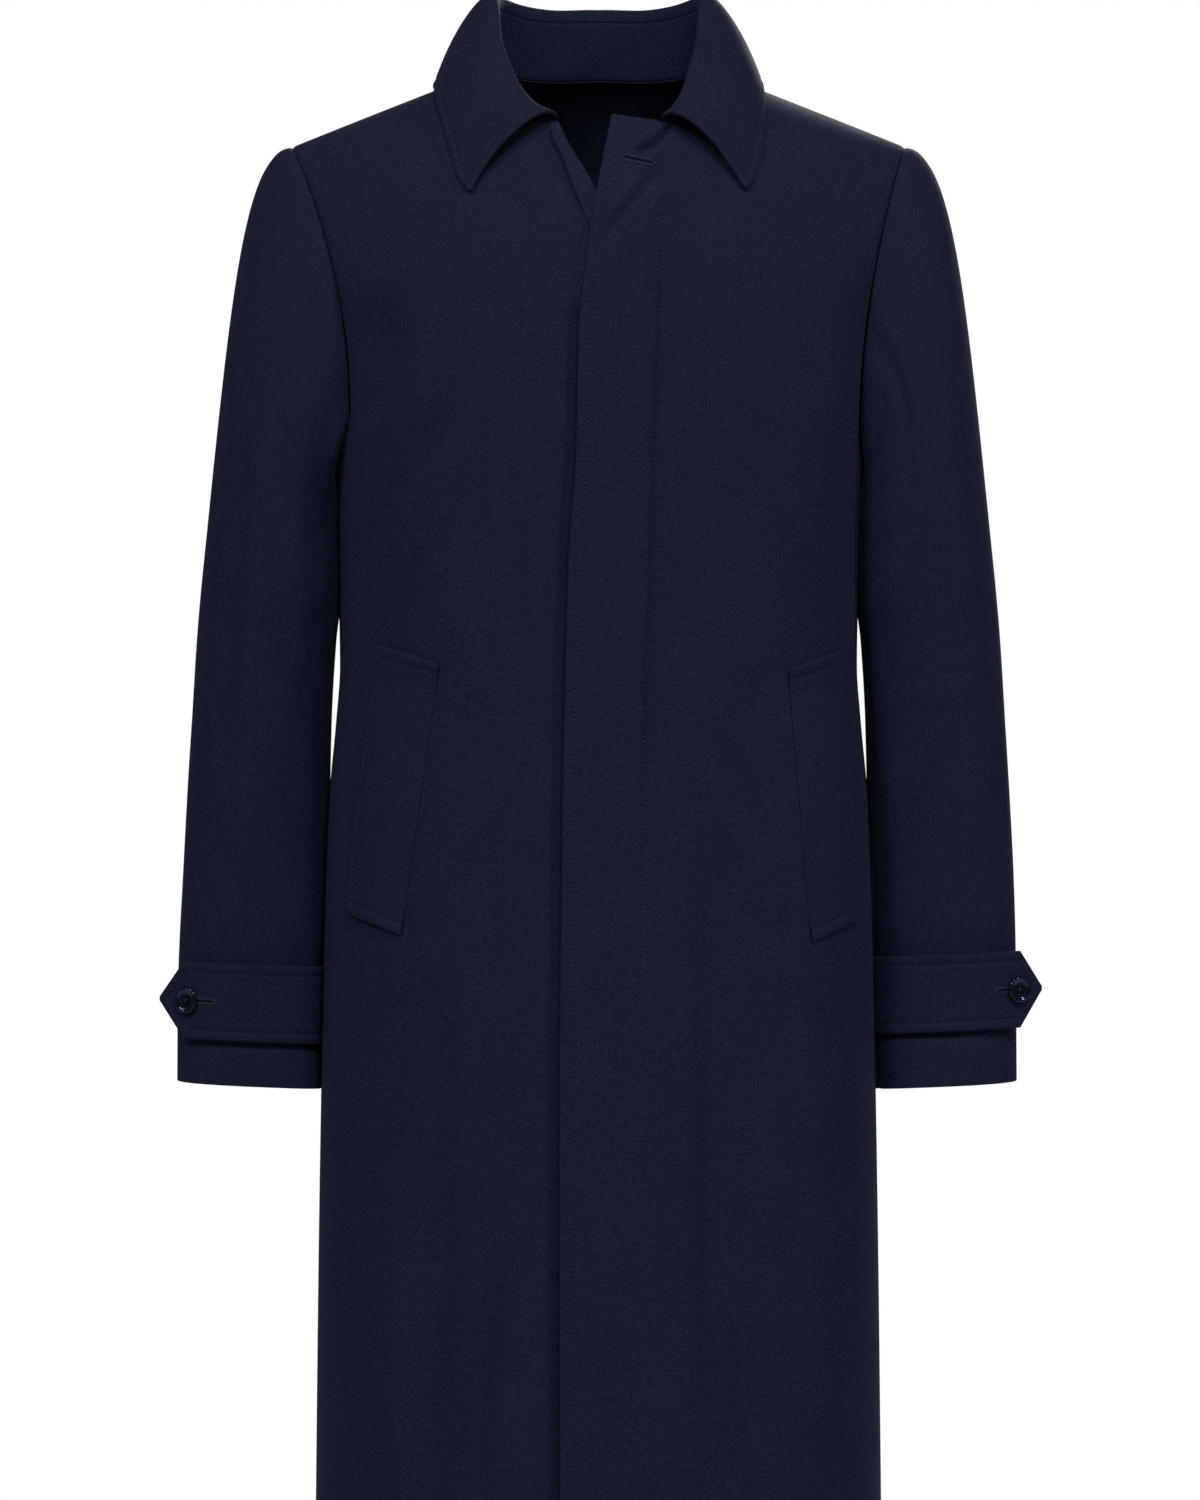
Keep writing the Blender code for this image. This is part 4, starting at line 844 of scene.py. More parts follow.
# sleeves: rings from the cuff up, and the cap from the armhole
# their creases go from angle, height to angle, height, then width and rise
sleeve = {
    "height": [-0.7305, -0.64, -0.584, -0.526, -0.469, -0.411, -0.378, -0.335],
    "outer": [0.3025, 0.3018, 0.3003, 0.2972, 0.2936, 0.2899, 0.287, 0.2825],
    "inner": [0.1988, 0.1968, 0.1953, 0.195, 0.1938, 0.1903, 0.1867, 0.187],
    "halfDepth": [0.045, 0.0475, 0.0505, 0.054, 0.0575, 0.062, 0.065, 0.0675],
    "middleY": [0.02, 0.02, 0.02, 0.018, 0.016, 0.014, 0.012, 0.01],
    "capAngle": [0, 90, 180], "out": [1, 0.78, 0.05], "forward": [0, 0.22, 0], "down": [0.12, 0.58, 0.89],
    "start": [0.033, 0.05, 0.012], "finish": [0.2, 0.07, 0.015],
    "square": 2.15, "corner": (140, 26, 0.009), "cuffTilt": math.radians(2.4),
    "bicep": -0.335, "cuff": -0.7305, "seamGap": 0.0001, "armholeClear": 0.0002,
    "tipClose": 0.0009, "tipWide": 7, "crowd": 1.25,
    "capRows": 54, "tubeStep": 0.003, "cuffSteps": [0.0075, 0.004, 0.002, 0.0008, 0], "armholeSamples": 361,
    "columns": {"top": 66, "under": 30}, "seamAngles": [0, 0.8, 1.8, 3.2, 5.0, 8.0], "seamTurn": 0.03,
    "seamSize": (0.8, 0.5), "bulge": (0.1, 0.1, 1, 0.1), "insideY": 0.015, "insideUnder": 0.05,
    "underarmIn": 0.0026, "underarmWide": 50,   # how far the sleeve closes on the body below the armpit
    "roping": {"top": 0.0006, "under": 0.00024}, "ropingAt": 0.009, "ropingWide": 0.007,
    "tabAbove": (0.0018, 0.013), "tabBelow": (0.0022, 0.005),   # drawn in beside the tab: how deep, how far
    "tabSide": (0.01, -0.012), "widerFrom": (-0.56, -0.68),
    "creaseFade": 0.3, "streakSize": 1.45, "streakFrom": (0.003, 0.015),
    "creases": {
        "right": [(62, -0.33, 62, -0.56, 16, -0.0022), (-95, -0.35, -95, -0.56, 18, -0.003),
                  (40, -0.3, 52, -0.52, 9, 0.0009), (84, -0.42, 70, -0.64, 10, -0.0011),
                  (20, -0.5, 34, -0.66, 12, 0.001), (118, -0.4, 100, -0.52, 11, 0.0012)],
        "left": [(70, -0.33, 70, -0.52, 16, -0.0022), (-90, -0.35, -90, -0.56, 18, -0.003),
                 (48, -0.3, 58, -0.47, 9, 0.0009), (96, -0.46, 120, -0.5, 9, -0.0013),
                 (88, -0.52, 72, -0.66, 11, -0.0012), (24, -0.44, 36, -0.64, 12, 0.001)],
    },
    "streaks": {   # narrow creases that run up into the cap
        "right": [(76, -0.12, 82, -0.52, 7, 0.0011), (84, -0.18, 86, -0.25, 10, -0.0012),
                  (60, -0.16, 66, -0.48, 6, -0.0008), (98, -0.3, 92, -0.56, 6, -0.0007),
                  (110, -0.26, 118, -0.42, 8, 0.0012), (280, -0.18, 270, -0.42, 9, 0.0014),
                  (320, -0.24, 316, -0.56, 9, -0.0011)],
        "left": [(100, -0.12, 104, -0.28, 4, -0.001), (92, -0.11, 95, -0.28, 4, 0.0009),
                 (112, -0.14, 112, -0.26, 4, 0.0008), (80, -0.16, 78, -0.46, 6, -0.0008),
                 (66, -0.18, 62, -0.52, 7, 0.0009), (122, -0.26, 116, -0.44, 8, 0.0012),
                 (276, -0.18, 268, -0.42, 9, 0.0014), (318, -0.24, 322, -0.56, 9, -0.0011)],
    },
}


def sleeveCreases(kind, half, height, angle):
    total, past = 0, sleeve["creaseFade"]
    for angle0, top, angle1, bottom, width, rise in sleeve[kind][half]:
        length = top - bottom
        fade = sleeve["creaseFade"] * length
        ends = ease(-fade, fade, top - height) * ease(-fade, fade, height - bottom)
        middle = angle0 + (angle1 - angle0) * np.clip((top - height) / length, -past, 1 + past)
        total = total + rise * ends * bell((angle - middle + 180) % 360 - 180, width)
    return total


def sleevePoints(half, height, angle, out=0.0):   # angle 0 is the outer side and 90 the front
    height, angle = np.broadcast_arrays(np.asarray(height, dtype=float), np.asarray(angle, dtype=float))
    names = ("outer", "inner", "halfDepth", "middleY")
    outer, inner, deep, middle = (follow(sleeve, name, height) for name in names)
    outer = outer + halves[half]["cuffWider"] * ease(*sleeve["widerFrom"], height)
    tilt = sleeve["cuffTilt"] * ease(sleeve["bicep"], sleeve["cuff"], height)
    turn, power = np.radians(angle), 2 / sleeve["square"]
    cornerAngle, cornerWide, cornerRise = sleeve["corner"]   # the fold along the inner front
    swell = out + cornerRise * bell(angle % 360 - cornerAngle, cornerWide)
    swell = swell + sleeveCreases("creases", half, height, angle)
    sideways = (outer - inner) / 2 * signedPower(np.cos(turn), power) + swell * np.cos(turn)
    x = (outer + inner) / 2 + sideways * np.cos(tilt)
    y = middle - deep * signedPower(np.sin(turn), power) - swell * np.sin(turn)
    return np.stack([halves[half]["sign"] * x, y, height + sideways * np.sin(tilt)], axis=-1)


def armholeLoop(half):   # points and angles, from the shoulder tip down the front and up the back
    turns = np.linspace(0, 180, sleeve["armholeSamples"])
    points, angles = [], []
    for face in ("front", "back"):
        line = bodyPoints(face, half, *armholeLine(face, half, turns))
        line[0, 1] = line[-1, 1] = 0
        run = runOf(line[::-1])
        share = 180 * run / run[-1]
        points.append(line[::-1] if face == "front" else line)
        angles.append(share if face == "front" else 360 - share[::-1])
    return np.concatenate([points[0], points[1][1:]]), np.concatenate([angles[0], angles[1][1:]])


def sleeveGrid(half, angles):
    bicep, cuff, tubeStep = sleeve["bicep"], sleeve["cuff"], sleeve["tubeStep"]
    aside = np.array([halves[half]["sign"], 0, 0])
    loop, loopAngles = armholeLoop(half)
    turned = angles % 360
    away = np.minimum(turned, 360 - turned)
    ahead = np.where(turned < 180, 1, -1)
    names = ("out", "forward", "down", "start", "finish")
    out, forward, down, start, reach = (follow(sleeve, name, away, "capAngle")[:, None] for name in names)
    way = unit(np.concatenate([aside[0] * out, -ahead[:, None] * forward, -down], axis=1))
    clear = sleeve["armholeClear"] - sleeve["tipClose"] * bell(away, sleeve["tipWide"])
    begin = alongLine(loop, loopAngles, turned) + way * sleeve["seamGap"] + clear[:, None] * aside
    finish = sleevePoints(half, bicep, angles)
    backUp = (finish - sleevePoints(half, bicep - tubeStep, angles)) / tubeStep * reach
    closeIn = sleeve["underarmIn"] * bell(turned - 180, sleeve["underarmWide"])
    shares = np.linspace(0, 1, sleeve["capRows"] + 1)[:-1, None, None] ** sleeve["crowd"]
    cap = bend(begin, begin + way * start, finish + backUp, finish, shares)
    cap = cap - closeIn[:, None] * np.sin(math.pi * shares) * aside
    low = cuff + sleeve["cuffSteps"][0]
    count = int(round((bicep - low) / tubeStep))
    heights = np.concatenate([np.linspace(bicep, low, count + 1)[:-1], cuff + np.array(sleeve["cuffSteps"])])
    return np.concatenate([cap, sleevePoints(half, heights[:, None], angles)])


def drawnIn(half, grid):   # the sleeve sinks above and below its tab
    height = grid[..., 2] - halves[half]["tabHeight"]
    deep, far = (np.where(height > 0, *pair) for pair in zip(sleeve["tabAbove"], sleeve["tabBelow"]))
    past = np.maximum(np.abs(height) - tab["half"], 0)
    return deep * bell(past, far) * ease(*sleeve["tabSide"], grid[..., 1])


for half in ("left", "right"):
    side, gap = halves[half], sleeve["seamTurn"]
    spans = {"top": (side["underBack"] - 360 + gap, side["underFront"] - gap),
             "under": (side["underFront"] + gap, side["underBack"] - gap)}
    for part, (first, last) in spans.items():
        angles = closeEnds(first, last, sleeve["columns"][part], sleeve["seamAngles"])
        grid = sleeveGrid(half, angles)
        fromArmhole = distanceTo(grid, grid[0])
        fromSeams = np.minimum(distanceTo(grid, grid[:, 0]), distanceTo(grid, grid[:, -1]))
        relief = np.minimum(seamDip(fromArmhole, 1.0, 0.0), 0) + seamDip(fromSeams, *sleeve["seamSize"])
        relief += sleeve["roping"][part] * bell(fromArmhole - sleeve["ropingAt"], sleeve["ropingWide"])
        streak = sleeve["streakSize"] * sleeveCreases("streaks", half, grid[..., 2], angles)
        relief += streak * ease(*sleeve["streakFrom"], fromArmhole) - drawnIn(half, grid)
        shift = side["sign"] * sleeve["insideUnder"] if part == "under" else 0
        middle = np.mean(grid, axis=1, keepdims=True) * np.array([1, 0, 1])
        middle = middle + np.array([shift, sleeve["insideY"], 0])
        name = "sleeve_" + part + "_" + half
        declare(clothShell(name, grid, panel["wall"], middle, relief, sleeve["bulge"]))
print("sleeves made")

# collar, by place from the middle of the back (0) past the shoulder (0.5) to its end (1)
collar = {
    "place": [0, 0.125, 0.25, 0.375, 0.5, 0.6, 0.7, 0.85, 0.93, 1],
    "stand": [0.042, 0.0425, 0.043, 0.044, 0.044, 0.025, 0.0165, 0.009, 0.007, 0.0045],
    "lean": [0.005, 0.005, 0.0045, 0.0045, 0.004, 0.005, 0.008, 0.007, 0.0035, 0],
    "rollUp": [0.03, 0.03, 0.03, 0.03, 0.03, 0.027, 0.022, 0.016, 0.013, 0.011],
    "rollOut": [0, 0, 0, 0, 0, 0, 0.003, 0.008, 0.012, 0.017],
    "edgeAcross": [0, 0.041, 0.077, 0.1025, 0.117, 0.116, 0.111, 0.104, 0.0978, 0.0894],
    "edgeDrop": [0.048, 0.042, 0.022, 0.007, 0, 0.0095, 0.0293, 0.057, 0.0784, 0.0937],
    "edgeUp": [0.046, 0.046, 0.046, 0.048, 0.05, 0.046, 0.04, 0.034, 0.032, 0.031],
    "edgeIn": [0.012, 0.012, 0.013, 0.014, 0.0155, 0.0155, 0.016, 0.017, 0.017, 0.0175],
    "shoulder": 0.5, "spreadFull": 0.9, "spreadRise": 0.6,
    "wall": 0.0026, "offCloth": 0.0009, "stitch": 0.0052,
    "columns": 190, "endSteps": [0, 0.004, 0.009, 0.015, 0.022, 0.029, 0.036, 0.044, 0.053], "rows": 30,
    "edgeShares": [0.115, 0.095, 0.08, 0.068, 0.058, 0.048, 0.037, 0.025, 0.015, 0.0065, 0],
    "standEnd": 0.96, "standFoot": 0.0002, "standTopClear": 0.0003, "standRows": 14, "standLook": 1 / 9,
    "stepOff": 0.0048, "stepFrom": 0.74, "stepLow": 1.3,   # the front edges stand off, most below the middle
    "curveIn": 0.0012, "curveFrom": 0.78, "curveLow": 1.1, "curveWay": (0.69, 0.15, 0.73),
    "cornerPlace": 0.016, "cornerShare": 0.034,
    "leftTip": (0.0022, 0.0004, -0.0006), "tipPlace": 0.05, "tipShare": 0.09,
    "insideSize": (0.8, 0.8, 0), "insideAt": (0, 0, -0.02),
    "bulge": (0.6, 0.6, 0.6, 0.3), "standBulge": (0.3, 0.3, 0.3, 0.3),
}


def neckPoint(half, place):
    if place <= collar["shoulder"]:
        return bodyPoints("back", half, *backNeckSpot(math.pi * place))
    return bodyPoints("front", half, *frontNeckSpot(half, math.pi * (place - collar["shoulder"])))


def collarArms(half, place):
    size = {name: float(follow(collar, name, place, "place")) for name in
            ("stand", "lean", "rollUp", "rollOut", "edgeAcross", "edgeDrop", "edgeUp", "edgeIn")}
    neck, level, up = np.array([0, body["neckMiddle"], 0]), np.array([1.0, 1.0, 0]), np.array([0, 0, 1.0])
    foot = neckPoint(half, place)
    outward = unit((foot - neck) * level)
    begin = foot + up * size["stand"] - outward * size["lean"]
    wider = halves[half]["spread"] * float(ease(collar["shoulder"], collar["spreadFull"], place))
    across = size["edgeAcross"] + wider
    height = float(shoulderHeight(across)) - max(size["edgeDrop"] - collar["spreadRise"] * wider, 0)
    face = "back" if place < collar["shoulder"] else "front"
    edge = bodyMovedOut(face, half, across, height, collar["wall"] + collar["offCloth"])
    leave = begin + up * size["rollUp"] + outward * size["rollOut"]
    arrive = edge + up * size["edgeUp"] - unit((edge - neck) * level) * size["edgeIn"]
    return foot, begin, leave, arrive, edge


edgeShares = np.array(collar["edgeShares"])
places = closeEnds(-1, 1, collar["columns"] - 1, collar["endSteps"])
shares = np.concatenate([np.linspace(0, 1 - edgeShares[0], collar["rows"])[:-1], 1 - edgeShares])
standShares = np.linspace(0, 1, collar["standRows"] + 1)[:, None]
fallColumns, standColumns = [], []
for place in places:
    half, end = "left" if place >= 0 else "right", abs(float(place))
    foot, begin, leave, arrive, edge = collarArms(half, end)
    off = collar["stepOff"] * ease(collar["stepFrom"], 1.0, end)
    curve = collar["curveIn"] * ease(collar["curveFrom"], 1.0, end)
    way = np.array(collar["curveWay"]) * np.array([halves[half]["sign"], 1, 1])
    lift = (np.sin(math.pi * shares ** collar["stepLow"])[:, None] * np.array([0, -off, 0])
            + np.sin(math.pi * shares ** collar["curveLow"])[:, None] * way * curve)
    if half == "left":
        atTip = bell(1 - end, collar["tipPlace"]) * bell(1 - shares, collar["tipShare"])
        lift = lift + atTip[:, None] * np.array(collar["leftTip"])
    fallColumns.append(bend(begin, leave, arrive, edge, shares[:, None]) + lift)
    if end <= collar["standEnd"]:
        up = unit(begin - foot)
        away = unit(bend(begin, leave, arrive, edge, collar["standLook"]) - begin)
        slant = math.hypot(away[0], away[1]) + math.hypot(up[0], up[1])
        low = foot + up * collar["standFoot"]
        high = begin - up * (collar["standTopClear"] + collar["wall"] * slant)
        standColumns.append(low + (high - low) * standShares)

# the points' corners are rounded by moving the grid's own corners in
grid = np.array(fallColumns)
cornerPlace, cornerShare = collar["cornerPlace"], collar["cornerShare"]
toEnd = np.clip(1 - (1 - np.abs(places)) / cornerPlace, 0, 1)[:, None] + 0 * shares
toEdge = np.clip(1 - (1 - shares) / cornerShare, 0, 1) + 0 * places[:, None]
draw = np.maximum(toEnd, toEdge) / np.maximum(np.hypot(toEnd, toEdge), 1e-9)
draw = np.where(toEnd * toEdge > 0, draw, 1)
newPlace = np.sign(places)[:, None] * (1 - cornerPlace * (1 - toEnd * draw))
newPlace = np.where(draw < 1, newPlace, places[:, None])
newShare = np.where(draw < 1, 1 - cornerShare * (1 - toEdge * draw), shares)
moved = [np.interp(newPlace, places, np.arange(len(places))),
         np.interp(newShare, shares, np.arange(len(shares)))]
grid = gridAt(grid, np.stack(moved, axis=-1).reshape(-1, 2)).reshape(grid.shape)
field = distanceTo(grid, np.concatenate([grid[0], grid[1:, -1], grid[-1, -2::-1]])) / collar["stitch"]
inside = grid * np.array(collar["insideSize"]) + np.array(collar["insideAt"])
shell = clothShell("collar_fall", grid, collar["wall"], inside, edgeRoll(field), collar["bulge"])
declare(shell, stitching("stitches_collar", stitchField(shell, field), edgeThread))
grid = np.array(standColumns)
inside = grid * np.array([2.0, 2.0, 1.0]) - np.array([0, body["neckMiddle"], 0])   # it faces the neck
plain = np.zeros(grid.shape[:2])
declare(clothShell("collar_stand", grid, collar["wall"], inside, plain, collar["standBulge"]))
print("collar made")

# the right front's edge, turned back at the neck: its fold, its free edge, and how far that stands off
turnback = {
    "height": [-0.148, -0.1266, -0.113, -0.1002, -0.0862, -0.0718, -0.0563, -0.05],
    "fold": [-0.0185, -0.0122, -0.0056, 0.0011, 0.0082, 0.0168, 0.0252, 0.0278],
    "free": [-0.004, 0.0038, 0.0095, 0.0151, 0.02, 0.0249, 0.0318, 0.0318],
    "stand": [0, 0, 0.0003, 0.0014, 0.0025, 0.0031, 0.0025, 0.0016],
    "wall": 0.0018, "offCloth": 0.0003, "roll": 0.0005, "rollWide": 0.0016, "bulge": (1, 1, 1, 1),
    "rows": 60, "columns": [0, 0.06, 0.14, 0.28, 0.42, 0.56, 0.68, 0.78, 0.86, 0.93, 1],
}
share = np.array(turnback["columns"])
height = np.linspace(turnback["height"][0], turnback["height"][-1], turnback["rows"] + 1)[:, None]
fold, free, stand = (follow(turnback, name, height) for name in ("fold", "free", "stand"))
out = turnback["offCloth"] + turnback["wall"] + stand * share
grid = bodyMovedOut("front", "right", fold + (free - fold) * share, height + 0 * share, out)
relief = turnback["roll"] * bell(distanceTo(grid, grid[:, -1]), turnback["rollWide"])
shell = clothShell("front_turnback", grid, turnback["wall"], innerPoint, relief, turnback["bulge"])
declare(shell)

share = np.array(welts["across"])
down = closeEnds(0, 1, welts["rows"], welts["endSteps"])[:, None]
flush = ease(*welts["flush"], share)
wall = welts["innerWall"] + (welts["wall"] - welts["innerWall"]) * flush
nearEnd = 1 - ease(0, welts["endLong"], np.minimum(down, 1 - down))
out = welts["innerOff"] + (welts["offCloth"] - welts["innerOff"]) * flush + wall
out = out + welts["endRise"] * nearEnd * (1 - welts["endFlat"] * flush)
for half in ("left", "right"):
    corner = {name: np.array(spot) for name, spot in welts[half].items()}
    bow = welts["bow"] * np.sin(math.pi * down) * np.array([1, 0])
    mouth = corner["topOuter"] + (corner["lowOuter"] - corner["topOuter"]) * down + bow
    sewn = corner["topInner"] + (corner["lowInner"] - corner["topInner"]) * down
    spots = sewn[:, None] + (mouth - sewn)[:, None] * share[:, None]
    grid = bodyMovedOut("front", half, spots[..., 0], spots[..., 1], out)
    fromEnds = np.minimum(distanceTo(grid, grid[0]), distanceTo(grid, grid[-1]))
    field = np.minimum(distanceTo(grid, grid[:, -1]) / welts["stitch"], fromEnds / welts["endStitch"])
    relief = edgeRoll(field, welts["roll"])
    shell = clothShell("pocket_welt_" + half, grid, wall, innerPoint, relief, welts["bulge"])
    declare(shell, stitching("stitches_welt_" + half, stitchField(shell, field), edgeThread))
print("turn-back and welts made")


def tabLine(half, height):   # the tab's way round the cuff at a height, its direction from there, and its tip
    out = tab["offCloth"] + tab["wall"]
    angles = np.linspace(tab["startAngle"], tab["leaveAngle"], tab["wrapColumns"] + 1)
    wrap = sleevePoints(half, height, angles, out)
    way = unit(wrap[-1] - sleevePoints(half, height, tab["leaveAngle"] + 1.0, out))
    return wrap, way, wrap[-1] + way * (halves[half]["tabReach"] - abs(wrap[-1][0])) / abs(way[0])


def tabGrid(half):
    middle = halves[half]["tabHeight"]
    steps = np.array(tab["edgeSteps"])
    shares = np.concatenate([steps[:-1] / tab["half"] - 1, [0], 1 - steps[-2::-1] / tab["half"]])
    wrap = np.array([tabLine(half, middle + tab["half"] * share)[0] for share in shares])
    way, tip = tabLine(half, middle)[1:]
    columns, pointed = list(np.swapaxes(wrap, 0, 1)), []
    for left in tab["pointSteps"]:
        tall = tab["tipHalf"] + (tab["half"] - tab["tipHalf"]) * left
        foot = tip - way * halves[half]["tabPoint"] * left
        pointed.append(foot + np.array([0, 0, 1.0]) * (tall * shares)[:, None])
    for share in between(0, 1, tab["runColumns"] - 1):
        columns.append(columns[tab["wrapColumns"]] * (1 - share) + pointed[0] * share)
    return np.array(columns + pointed), len(shares) // 2


# buttons, turned, with four holes and crossed thread; the profile is radius and height
button = {
    "size": 1.06, "thick": 0.0034, "offCloth": 0.0006, "steps": 72,
    "merge": 0.00002, "sharp": math.radians(40),
    "profile": [(0, 0.00055), (0.004, 0.00058), (0.0056, 0.00075), (0.0064, 0.0012), (0.007, 0.00158),
                (0.0076, 0.0017), (0.0081, 0.00162), (0.0085, 0.00135), (0.0087, 0.0009), (0.0088, 0.0003),
                (0.0086, -0.0006), (0.008, -0.0013), (0.007, -0.00165), (0, -0.0017)],
    "holeRadius": 0.00092, "holeApart": 0.0017, "holeSteps": 20, "drill": 0.02,
    "threadRadius": 0.00034, "threadLifts": (0.0007, 0.001), "threadBeside": 0.0005, "threadShort": 2.5,
}


def objectFrom(work, name):
    mesh = bpy.data.meshes.new(name)
    work.to_mesh(mesh)
    work.free()
    return addObject(name, mesh)


def makeButton(half, middle, aside, face):
    upward = np.cross(face, aside)
    work = bmesh.new()
    spots = [work.verts.new((radius * button["size"], 0, height)) for radius, height in button["profile"]]
    edges = [work.edges.new(pair) for pair in zip(spots[:-1], spots[1:])]
    bmesh.ops.spin(work, geom=spots + edges, cent=(0, 0, 0), axis=(0, 0, 1), angle=2 * math.pi,
                   steps=button["steps"], use_merge=True)
    bmesh.ops.remove_doubles(work, verts=work.verts, dist=button["merge"])
    bmesh.ops.recalc_face_normals(work, faces=work.faces)
    made = objectFrom(work, "cuff_button_" + half + "_turned")
    apart, radius = button["holeApart"], button["holeRadius"]
    work = bmesh.new()
    for across, up in ((-1, -1), (-1, 1), (1, -1), (1, 1)):
        shift = Matrix.Translation((across * apart, up * apart, 0))
        bmesh.ops.create_cone(work, cap_ends=True, segments=button["holeSteps"], radius1=radius,
                              radius2=radius, depth=button["drill"], matrix=shift)
    drill = objectFrom(work, "drill")
    cut = made.modifiers.new("holes", "BOOLEAN")
    cut.operation, cut.solver, cut.object = "DIFFERENCE", "EXACT", drill
    bpy.context.view_layer.update()
    mesh = bpy.data.meshes.new_from_object(made.evaluated_get(bpy.context.evaluated_depsgraph_get()))
    made.modifiers.clear()
    made.data = mesh
    bpy.data.objects.remove(drill, do_unlink=True)
    turned = Matrix((aside, upward, face)).transposed()
    mesh.transform(Matrix.Translation(Vector(middle)) @ turned.to_4x4())
    mesh.polygons.foreach_set("use_smooth", np.ones(len(mesh.polygons), dtype=bool))
    mesh.set_sharp_from_angle(angle=button["sharp"])
    mesh.materials.clear()
    mesh.materials.append(horn)
    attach(made, "root")
    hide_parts("cuff_button_" + half)
    spots, radius = [], button["threadRadius"]
    for up, lift in zip((1, -1), button["threadLifts"]):
        along, spot = aside + upward * up, middle + face * lift
        beside = spot + np.cross(face, unit(along)) * button["threadBeside"]
        spots.append((spot, along, face, apart * 2 * math.sqrt(2), radius))
        spots.append((beside, along, face, apart * button["threadShort"], radius))
    threadMesh("button_thread_" + half, spots, edgeThread)


# worked buttonholes: short stitches square to a slit, a bar at the end, and a near-black strip of painted
# shade along the slit
hole = {
    "pitch": 0.0007, "long": 0.0026, "radius": 0.00044, "apart": 0.00155, "lift": 0.00012, "near": 0.0005,
    "barLong": 0.0042, "barRows": 4, "barStep": 0.0005, "barLift": 0.0002,
    "slitHalf": 0.00035, "slitLift": 0.00025,
}


def workedHole(name, line, up, finish, size=1.0):
    run, near = runOf(line), hole["near"]
    spots, left, right = [], [], []
    for at in np.arange(0, run[-1], hole["pitch"]):
        middle, lift = alongLine(line, run, at), unit(alongLine(up, run, at))
        ahead = alongLine(line, run, at + near) - alongLine(line, run, at - near)
        sideways = unit(np.cross(lift, ahead))
        for hand in (-1, 1):
            spot = middle + sideways * hand * hole["apart"] * size + lift * hole["lift"]
            spots.append((spot, sideways, lift, hole["long"] * size, hole["radius"] * size))
        raised = middle + lift * hole["slitLift"]
        left.append(raised - sideways * hole["slitHalf"])
        right.append(raised + sideways * hole["slitHalf"])
    onward = unit(line[-1] - line[-2]) * hole["barStep"]
    for step in range(hole["barRows"]):
        spot = line[-1] + onward * (step - 0.5) + lift * hole["barLift"]
        spots.append((spot, sideways, lift, hole["barLong"], hole["radius"]))
    made = threadMesh(name, spots, finish)
    count = len(left)
    faces = [(i, i + 1, count + i + 1, count + i) for i in range(count - 1)]
    # a near-black strip of painted shade along the slit, where the gap between the two rows of stitches lies
    # in shade
    dark = makeMesh(name + "_slit_painted_shade", np.array(left + right), faces, None, slitShade)
    return [made, dark]


for half in ("left", "right"):
    side = halves[half]
    grid, middleRow = tabGrid(half)
    field = distanceTo(grid, np.concatenate([grid[:, 0], grid[::-1, -1]])) / tab["stitch"]
    inside = np.array([side["sign"] * tab["inside"][0], tab["inside"][1], side["tabHeight"]])
    shell = clothShell("cuff_tab_" + half, grid, tab["wall"], inside, edgeRoll(field), tab["bulge"])
    pieces = stitching("stitches_tab_" + half, stitchField(shell, field), edgeThread)
    way, tip = tabLine(half, side["tabHeight"])[1:]
    face = unit(np.cross(way, np.array([0, 0, 1.0])))
    face = face if face[1] < 0 else -face
    raised = button["offCloth"] + button["thick"] / 2
    makeButton(half, tip - way * side["buttonFrom"] + face * raised, way, face)
    row, rowUp = shell["outer"][::-1, middleRow], shell["square"][::-1, middleRow]
    run = runOf(row)
    at = side["buttonFrom"] + np.linspace(tab["holeFrom"], side["holeLong"], tab["holeSamples"])
    holeLine, holeUp = alongLine(row, run, at), alongLine(rowUp, run, at)
    pieces += workedHole("buttonhole_cuff_" + half, holeLine, holeUp, edgeThread)
    declare(shell, pieces)
neckHole = {"from": (0.0186, -0.074), "to": (0.0386, -0.0779), "samples": 30, "size": 1.35}
across, height = np.linspace(neckHole["from"], neckHole["to"], neckHole["samples"]).T
workedHole("buttonhole_neck", *seenFromFront(leftOuter, across, height), holeThread, neckHole["size"])
print("tabs, buttons and buttonholes made")

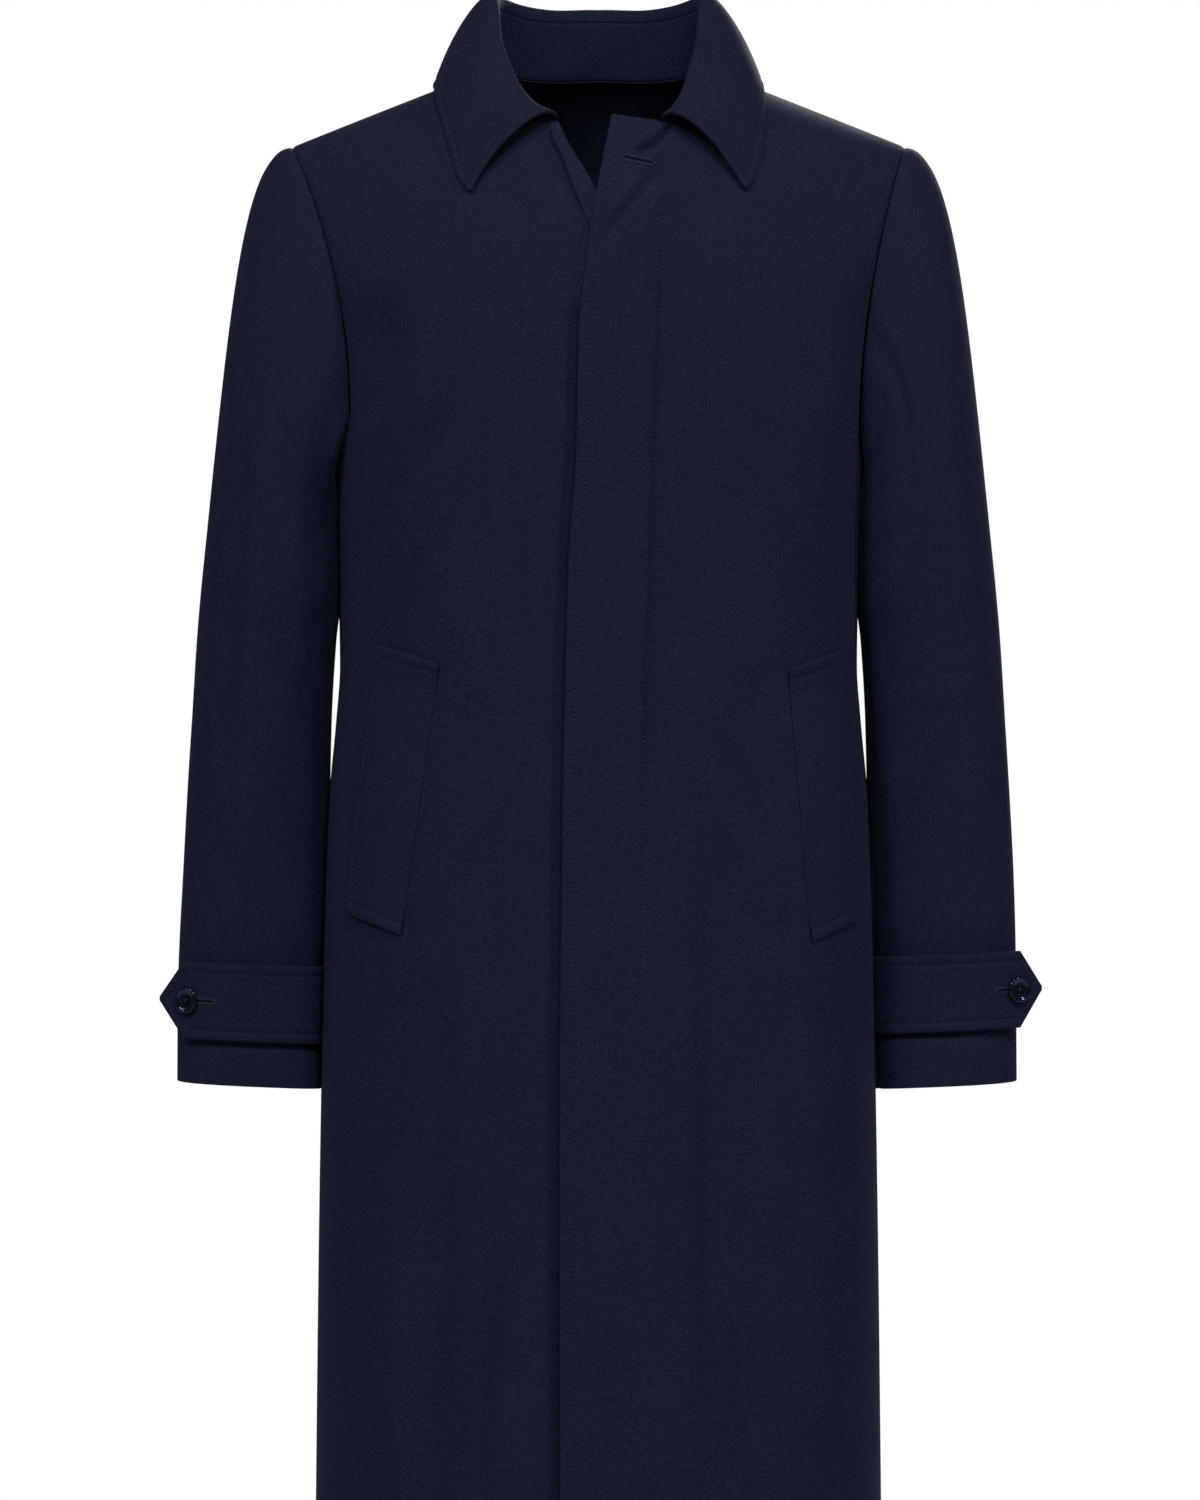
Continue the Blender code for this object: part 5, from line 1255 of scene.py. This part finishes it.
# floor, light and camera
studio = {
    "floorHeight": -1.52, "floorRadius": 3.6, "floorSteps": 128, "floorColour": (0.55, 0.55, 0.54),
    "floorFinish": {"roughness": 0.9, "specular": 0.1},
    "lights": {
        "key": {"place": (1.01, -3.51, 3.69), "size": (0.81, 0.68), "power": 147},
        "side": {"place": (3.51, -2.16, 1.8), "size": (0.4, 0.54), "power": 72},
        "fill": {"place": (-3.0, -3.9, 3.95), "size": (1.35, 1.35), "power": 220},
        "left": {"place": (-3.6, -2.0, 1.9), "size": (0.6, 0.7), "power": 17},
        "front": {"place": (-0.2, -5.6, 3.6), "size": (1.6, 1.2), "power": 44},
        "back": {"place": (0.8, 2.9, 1.4), "size": (1.2, 1.2), "power": 95},
    },
    "aim": (0, 0, -0.5), "ambient": 0.08,
    "camera": (0.0011, -4.2, -0.4903), "lens": 140.0, "sensor": 36.0,
}
bpy.ops.mesh.primitive_circle_add(vertices=studio["floorSteps"], radius=studio["floorRadius"],
                                  fill_type="NGON", location=(0, 0, studio["floorHeight"]))
floor = bpy.context.object
floor.name = "floor"
floorMaterial, floorShader = startMaterial("pale_floor", studio["floorFinish"])[::2]
floorShader.inputs["Base Color"].default_value = (*studio["floorColour"], 1)
floor.data.materials.append(floorMaterial)
for name, lamp in studio["lights"].items():
    light = bpy.data.lights.new(name, "AREA")
    light.shape = "RECTANGLE"
    light.size, light.size_y = lamp["size"]
    light.energy = lamp["power"]
    made = addObject(name, light)
    made.location = lamp["place"]
    toward = Vector(studio["aim"]) - Vector(lamp["place"])
    made.rotation_euler = toward.to_track_quat("-Z", "Y").to_euler()
world = bpy.data.worlds.new("studio")
bpy.context.scene.world = world
world.use_nodes = True
backdrop = world.node_tree.nodes["Background"]
backdrop.inputs["Color"].default_value = (1, 1, 1, 1)
seen = addNode(world.node_tree, "ShaderNodeLightPath")   # white behind the coat, but little light from it
strength = addNode(world.node_tree, "ShaderNodeMapRange")
strength.inputs["To Min"].default_value = studio["ambient"]
strength.inputs["To Max"].default_value = 1.0
world.node_tree.links.new(seen.outputs["Is Camera Ray"], strength.inputs["Value"])
world.node_tree.links.new(strength.outputs["Result"], backdrop.inputs["Strength"])
lens = bpy.data.cameras.new("camera")
lens.sensor_fit = "AUTO"
lens.sensor_width = studio["sensor"]
lens.lens = studio["lens"]
camera = addObject("camera", lens)
camera.location = studio["camera"]
camera.rotation_euler = (math.pi / 2, 0, 0)
bpy.context.scene.camera = camera
bpy.context.scene.view_settings.view_transform = "Standard"

bpy.context.view_layer.update()
print("scene made")
